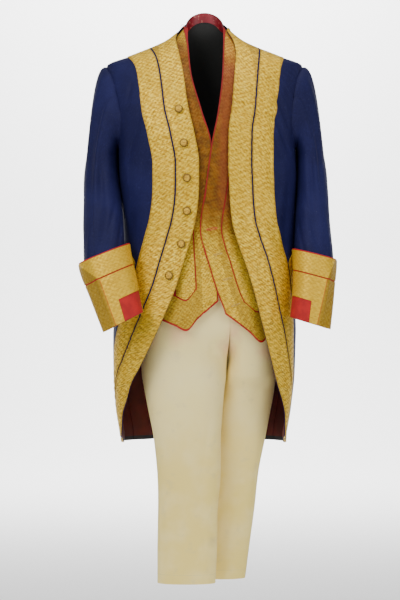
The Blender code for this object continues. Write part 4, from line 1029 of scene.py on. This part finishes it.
def buildButtons():
    sizes = ("radius", "dome", "shank", "neck", "rim", "pucker")
    radius, dome, shank, neck, rim, pucker = (button[key] for key in sizes)
    profile = [(0, 0), (neck, 0), (neck, shank - 0.0008), (radius * 0.90, shank)]
    for k in range(9):
        turn = math.radians(-18 + 108 * k / 9)
        profile.append((radius * math.cos(turn) ** 0.8 if turn > 0 else radius * math.cos(turn),
                        shank + rim + (dome - rim) * math.sin(turn)))
    profile.append((0, shank + dome))
    for number, (height, across) in enumerate(button["places"], 1):
        point, normal = coatSpot("right", across, height)
        foot = point + normal * (2 * seamGap + coat["lace"] + 0.0004)
        bm = bmesh.new()
        chain = [bm.verts.new((away, 0, rise)) for away, rise in profile]
        edges = [bm.edges.new(pair) for pair in zip(chain, chain[1:])]
        bmesh.ops.spin(bm, geom=chain + edges, cent=(0, 0, 0), axis=(0, 0, 1), angle=math.tau, steps=40,
                       use_merge=True)
        bmesh.ops.remove_doubles(bm, verts=bm.verts[:], dist=0.00001)
        edge = bm.verts.layers.float.new("edge")
        for vert in bm.verts:
            away = math.hypot(vert.co.x, vert.co.y)
            vert[edge] = 1 if vert.co.z < shank + 0.0001 else away / radius
            if vert.co.z > shank and away > radius * 0.8:
                turn = math.atan2(vert.co.y, vert.co.x)
                vert.co.z += pucker * math.sin(turn * 9 + number) * (away / radius)
        turn = Vector((0, 0, 1)).rotation_difference(Vector(normal)).to_matrix()
        bmesh.ops.rotate(bm, verts=bm.verts[:], cent=(0, 0, 0), matrix=turn)
        bmesh.ops.translate(bm, verts=bm.verts[:], vec=Vector(foot))
        thing = finish("coatButton_%d" % number, bm, cover)
        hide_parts("coat_button_%d" % number)


def threadRing(name, places, radius, material):
    # a thread swept round a closed route of points
    places = [Vector(place) for place in places]
    bm = bmesh.new()
    rings = []
    count = len(places)
    for k, place in enumerate(places):
        way = (places[(k + 1) % count] - places[k - 1]).normalized()
        turn = Vector((0, 0, 1)).rotation_difference(way).to_matrix().to_4x4()
        made = bmesh.ops.create_circle(bm, segments=8, radius=radius,
                                       matrix=Matrix.Translation(place) @ turn)
        rings.append(made["verts"])
    edges = [list({edge for vert in ring for edge in vert.link_edges}) for ring in rings]
    for k in range(count):
        bmesh.ops.bridge_loops(bm, edges=edges[k - 1] + edges[k])
    finish(name, bm, material, 60)


buildButtons()

vest = {"wall": 0.0018, "lace": 0.0012, "red": 0.0028, "width": 0.046, "split": 0.003, "times": 7,
        "band": 0.001, "strip": {"more": 0.1, "spread": 2.4}, "cutColumns": 16,
        "neckHeights": (0.031, 0.072), "backSteps": (16, 12), "backReach": 0.165, "backRows": (-0.49, -0.56),
        # middle x and z, half length, rise to the wearer's left
        "buttonholes": ((0.017, -0.458, 0.0125, 10), (0.031, -0.517, 0.0105, 14),
                        (0.052, -0.575, 0.0110, 16), (0.071, -0.636, 0.0110, 20))}
# creases of the waistcoat: start x, z, end x, z, width, rise
vestCreases = {
    "left": inMetres((
        (100, -100, 60, -300, 10, -1.2), (-4, -470, 60, -452, 6, 1), (4, -512, 70, -490, 6, -0.9),
        (20, -575, 90, -555, 7, 1), (45, -640, 100, -600, 8, -1.2), (120, -480, 150, -600, 10, -1.5))),
    "right": inMetres((
        (-100, -110, -50, -300, 10, -1.2), (-30, -560, -100, -540, 7, 1),
        (-40, -620, -110, -590, 8, -1.2), (-120, -470, -150, -590, 10, -1.5)))}


def waistcoatHeights(side, distance):
    hem = waistcoatHem[side].at(distance, "height")
    top, low = waistcoatRows[-1], hem + waistcoatHemSteps[0]
    return list(waistcoatRows) + [(top + low) / 2] + [hem + rise for rise in waistcoatHemSteps]


def buildWaistcoatFront(side):
    times, width = vest["times"], vest["width"]
    inner = list(np.linspace(vest["red"], vest["red"] + width, 11))
    outer = list(np.linspace(inner[-1] + vest["split"], inner[-1] + vest["split"] + width, 11))
    offsets = [0] + inner + outer
    angles, heights = frontGrid(waistcoatCut, side, offsets, vest["cutColumns"],
                                lambda distance: waistcoatHeights(side, distance), times)
    points = creased(surfaceGrid(waistcoatPoints, side, angles, heights), vestCreases[side])
    normals = gridNormals(points)
    front = "waistcoatFront_" + side
    wall = trimmed(points, top=True, last=True)
    clothPiece(front, wall, normals, vest["wall"], redShade)
    # the edge row turns along the hem, so it is cut as one L-shaped piece
    low = heights.shape[0] - 1 - times
    keepEdge = np.zeros((points.shape[0] - 1, points.shape[1] - 1), bool)
    keepEdge[:low, 1:11] = True
    keepEdge[low - 2 * times:low, 1:points.shape[1] - 1] = True
    keepInner = np.zeros_like(keepEdge)
    keepInner[:low - 3 * times, 12:22] = True
    for row, keep in (("Edge_", keepEdge), ("Inner_", keepInner)):
        clothPiece("waistcoatLace" + row + side, trimmed(points, top=True), normals, vest["lace"],
                   waistcoatLace, restsOn=[front], lift=seamGap, keep=keep, strip=vest["strip"])
    return points, normals


def buildWaistcoatBack():
    times = vest["times"]
    drop = 0.023 / (vest["neckHeights"][1] - yokeLine)
    steps = (0, drop / 2, drop, 0.35, 0.65, 1)
    halves = []
    for side in sides:
        angles, heights = backGrid(waistcoatCut, vest["neckHeights"], vest["backSteps"], vest["backReach"],
                                   waistcoatRows + vest["backRows"], times, steps)
        halves.append(surfaceGrid(waistcoatPoints, side, angles, heights))
    points = np.concatenate((halves[0][:, ::-1], halves[1][:, 1:]), axis=1)
    normals = gridNormals(points)
    wall = trimmed(points, first=True, last=True)
    shoulder = vest["backSteps"][1]
    for columns in (np.s_[:shoulder], np.s_[-shoulder:]):
        wall[0, columns] += unit(points[1, columns] - points[0, columns]) * seamGap / 2
    clothPiece("waistcoatBack", wall, normals, vest["wall"], black)
    inside = points - normals * vest["wall"]
    strip = np.s_[:2 * times + 1, shoulder:-shoulder]
    clothPiece("neckBand", inside[strip] - normals[strip] * (seamGap + vest["band"]), -normals[strip],
               vest["band"], crimson, restsOn=["waistcoatBack"])


vestFronts = {side: buildWaistcoatFront(side) for side in sides}
buildWaistcoatBack()


def vestSpot(side, x, z):
    # the nearest point of a waistcoat front in the front view, with its normal
    points, normals = vestFronts[side]
    away = np.hypot(points[..., 0] - x, points[..., 2] - z) + np.where(normals[..., 1] < 0, 0, 1)
    i, j = np.unravel_index(np.argmin(away), away.shape)
    return points[i, j] + np.array((x - points[i, j, 0], 0, z - points[i, j, 2])), normals[i, j]


def buildButtonholes():
    # worked buttonholes of the waistcoat, the top one in red and standing off a little more
    for number, (x, z, half, lean) in enumerate(vest["buttonholes"], 1):
        middle, normal = vestSpot("left", x, z)
        along = np.array((math.cos(math.radians(lean)), 0, math.sin(math.radians(lean))))
        along = unit(along - normal * np.dot(along, normal))
        up = np.cross(normal, along)
        width = 0.0022 if number == 1 else 0.0015
        places = []
        for k in range(28):
            turn = math.tau * k / 28
            bow = 0.0004 * math.sin(turn * 5 + number)
            places.append(middle + normal * (0.0028 if number == 1 else 0.0024)
                          + along * half * math.cos(turn) + up * (width * math.sin(turn) + bow))
        threadRing("waistcoatButtonhole_%d" % number, places, 0.0007,
                   redThread if number == 1 else goldThread)


goldThread = threadCloth("goldThread", (0.36, 0.19, 0.012), (0.80, 0.56, 0.12))
buildButtonholes()
print("stage waistcoat", flush=True)

trouser = {"wall": 0.0016, "columns": 44, "times": 9, "crotchStart": -0.68, "crotch": -0.8,
           "rows": (-0.5103, -0.6, -0.67, -0.715, -0.74, -0.77, -0.8, -0.84, -0.89, -0.945,
                    -1.0, -1.06, -1.13, -1.2, -1.25, -1.296)}
# creases of the trousers: start x, z, end x, z, width, rise
trouserCreases = {
    "right": inMetres((
        (30, -712, 12, -760, 4.5, -2.4), (-2, -722, -4, -772, 5, -1.8), (34, -728, 40, -762, 4, 2.2),
        (10, -700, -20, -800, 12, 2.2), (-108, -1022, -66, -1027, 3.5, -1.6),
        (-110, -1035, -75, -1030, 4, 1), (-100, -840, -40, -905, 12, -2),
        (-105, -780, -50, -820, 14, 1.8), (10, -880, -10, -1150, 9, -1.6),
        (-60, -1080, -55, -1280, 8, 1.2), (0, -1120, 8, -1290, 6, 1.2), (-100, -1120, -96, -1290, 7, -1))),
    "left": inMetres((
        (72, -728, 62, -790, 4.5, -2), (90, -735, 84, -800, 7, 1.6), (150, -800, 110, -880, 12, -1.8),
        (130, -900, 100, -1140, 9, 1.4), (60, -1060, 40, -1290, 7, -1.2), (100, -1160, 85, -1290, 7, -1)))}


def trouserRow(side, front, parts, height):
    sign, facing = sides[side], 1 if front else -1
    half, ahead, behind, across = trouserRing.row(height)
    depth = ahead if front else behind
    fly = trouserFly.at(height, "across")
    limit = math.asin(min(max(float(power((fly - across) * sign / half, ringPower / 2)), -1), 1))
    turn = math.pi / 2 + (limit - math.pi / 2) * parts
    body = np.stack((across + sign * half * power(np.sin(turn), 2 / ringPower),
                     -facing * depth * power(np.cos(turn), 2 / ringPower), parts * 0 + height), axis=-1)
    middle, ahead, legHalf, legDepth = legTables[side].row(height)
    turn, bulge = math.pi * parts, 2 / legPower
    leg = np.stack((middle + sign * legHalf * power(np.cos(turn), bulge),
                    -ahead - facing * legDepth * power(np.sin(turn), bulge), parts * 0 + height), axis=-1)
    return body + (leg - body) * ease(trouser["crotchStart"], trouser["crotch"], height)


def buildTrousers():
    parts = np.linspace(0, 1, trouser["columns"] + 1)
    heights = finer(trouser["rows"], trouser["times"])
    for side in sides:
        grids = {}
        for front in (True, False):
            points = np.array([trouserRow(side, front, parts, height) for height in heights])
            normals = gridNormals(points)
            if np.sum(normals[..., 1]) * (-1 if front else 1) < 0:
                normals = -normals
            grids[front] = (points, normals)
        shared = grids[True][1] + grids[False][1]
        for column in (0, -1):
            below = heights < (1 if column == 0 else trouser["crotch"] + 0.001)
            for front in (True, False):
                grids[front][1][below, column] = unit(shared[below, column])
        for front, (points, normals) in grids.items():
            face = "Front" if front else "Back"
            if front:
                points = trouserCreased(points, normals, trouserCreases[side])
            wall = trimmed(points, first=True, last=True)
            clothPiece("trouser%s_%s" % (face, side), wall, normals, trouser["wall"],
                       creamSeam if front and side == "left" else cream)


def trouserCreased(points, normals, table):
    moved = creased(points, table)
    shift = np.linalg.norm(moved - points, axis=-1, keepdims=True)
    sign = np.where(np.sum((moved - points) * gridNormals(points), axis=-1, keepdims=True) < 0, -1, 1)
    fade = np.ones(points.shape[1])
    fade[:3] = (0, 0.35, 0.8)
    fade[-3:] = (0.8, 0.35, 0)
    return points + normals * shift * sign * fade[None, :, None]


def buildWaistband():
    count = 96
    heights = np.linspace(-0.475, -0.510, 8)
    turns = np.degrees(math.tau * np.arange(count) / count)
    points = np.array([ringPoints(trouserRing, "left", turns, height) for height in heights])
    for face, start in (("Front", -count // 4), ("Back", count // 4)):
        picked = np.arange(start, start + count // 2 + 1) % count
        strip = points[:, picked]
        clothPiece("waistband" + face, trimmed(strip, first=True, last=True), gridNormals(strip),
                   trouser["wall"], cream)


buildTrousers()
buildWaistband()
print("stage trousers", flush=True)

for node, material in (("neck_loop", redThread), ("hem_hook", wire)):
    part = bpy.data.objects[node]
    for slot in part.material_slots:
        slot.material = material


floorShape = {"near": -9.0, "bend": 7.6, "level": -1.75, "radius": 1.6, "top": 4.2, "half": 7, "steps": 12}


def buildStage():
    # a pale floor that sweeps up behind the suit
    near, bend, level, radius, top, half, steps = floorShape.values()
    bm = bmesh.new()
    profile = [(near, level), (bend, level)]
    for k in range(1, steps + 1):
        turn = math.radians(90 * k / steps)
        profile.append((bend + radius * math.sin(turn), level + radius * (1 - math.cos(turn))))
    profile.append((bend + radius, top))
    chain = [bm.verts.new((-half, y, z)) for y, z in profile]
    edges = [bm.edges.new(pair) for pair in zip(chain, chain[1:])]
    made = bmesh.ops.extrude_edge_only(bm, edges=edges)
    moved = [item for item in made["geom"] if isinstance(item, bmesh.types.BMVert)]
    bmesh.ops.translate(bm, verts=moved, vec=Vector((2 * half, 0, 0)))
    bmesh.ops.recalc_face_normals(bm, faces=bm.faces[:])
    mesh = bpy.data.meshes.new("floor")
    bm.to_mesh(mesh)
    bm.free()
    mesh.shade_smooth()
    net = Net("paleFloor", roughness=0.9)
    net.colour(net.mix(net.noise(1.5, 2) * 0.15, (0.97, 0.97, 0.97), (0.95, 0.95, 0.95)))
    mesh.materials.append(net.material)
    floor = bpy.data.objects.new("floor", mesh)
    bpy.context.scene.collection.objects.link(floor)


def addLight(name, place, aim, energy, size):
    light = bpy.data.lights.new(name, "AREA")
    light.energy = energy
    light.size = size
    lamp = bpy.data.objects.new(name, light)
    lamp.location = place
    lamp.rotation_euler = (Vector(aim) - Vector(place)).to_track_quat("-Z", "Y").to_euler()
    bpy.context.scene.collection.objects.link(lamp)


buildStage()
addLight("keyLight", (-1.9, -3.2, 1.5), (0, 0, -0.5), 85, 1.8)
addLight("fillLight", (2.4, -3.0, 0.4), (0, 0, -0.6), 42, 2.2)
addLight("topLight", (0.2, -0.6, 2.6), (0, 0, -0.3), 38, 1.6)
addLight("backdropLight", (0, 6.6, 2.7), (0, 9.2, -0.4), 800, 4.0)
world = bpy.data.worlds.new("studio")
world.use_nodes = True
world.node_tree.nodes["Background"].inputs["Color"].default_value = (1, 1, 1, 1)
world.node_tree.nodes["Background"].inputs["Strength"].default_value = 0.62
bpy.context.scene.world = world

lens = bpy.data.cameras.new("camera")
lens.lens = 112.5
camera = bpy.data.objects.new("camera", lens)
camera.location = (-0.0108, -4.5, -0.624)
camera.rotation_euler = (math.radians(90), 0, 0)
bpy.context.scene.collection.objects.link(camera)
bpy.context.scene.camera = camera
print("stage studio", flush=True)
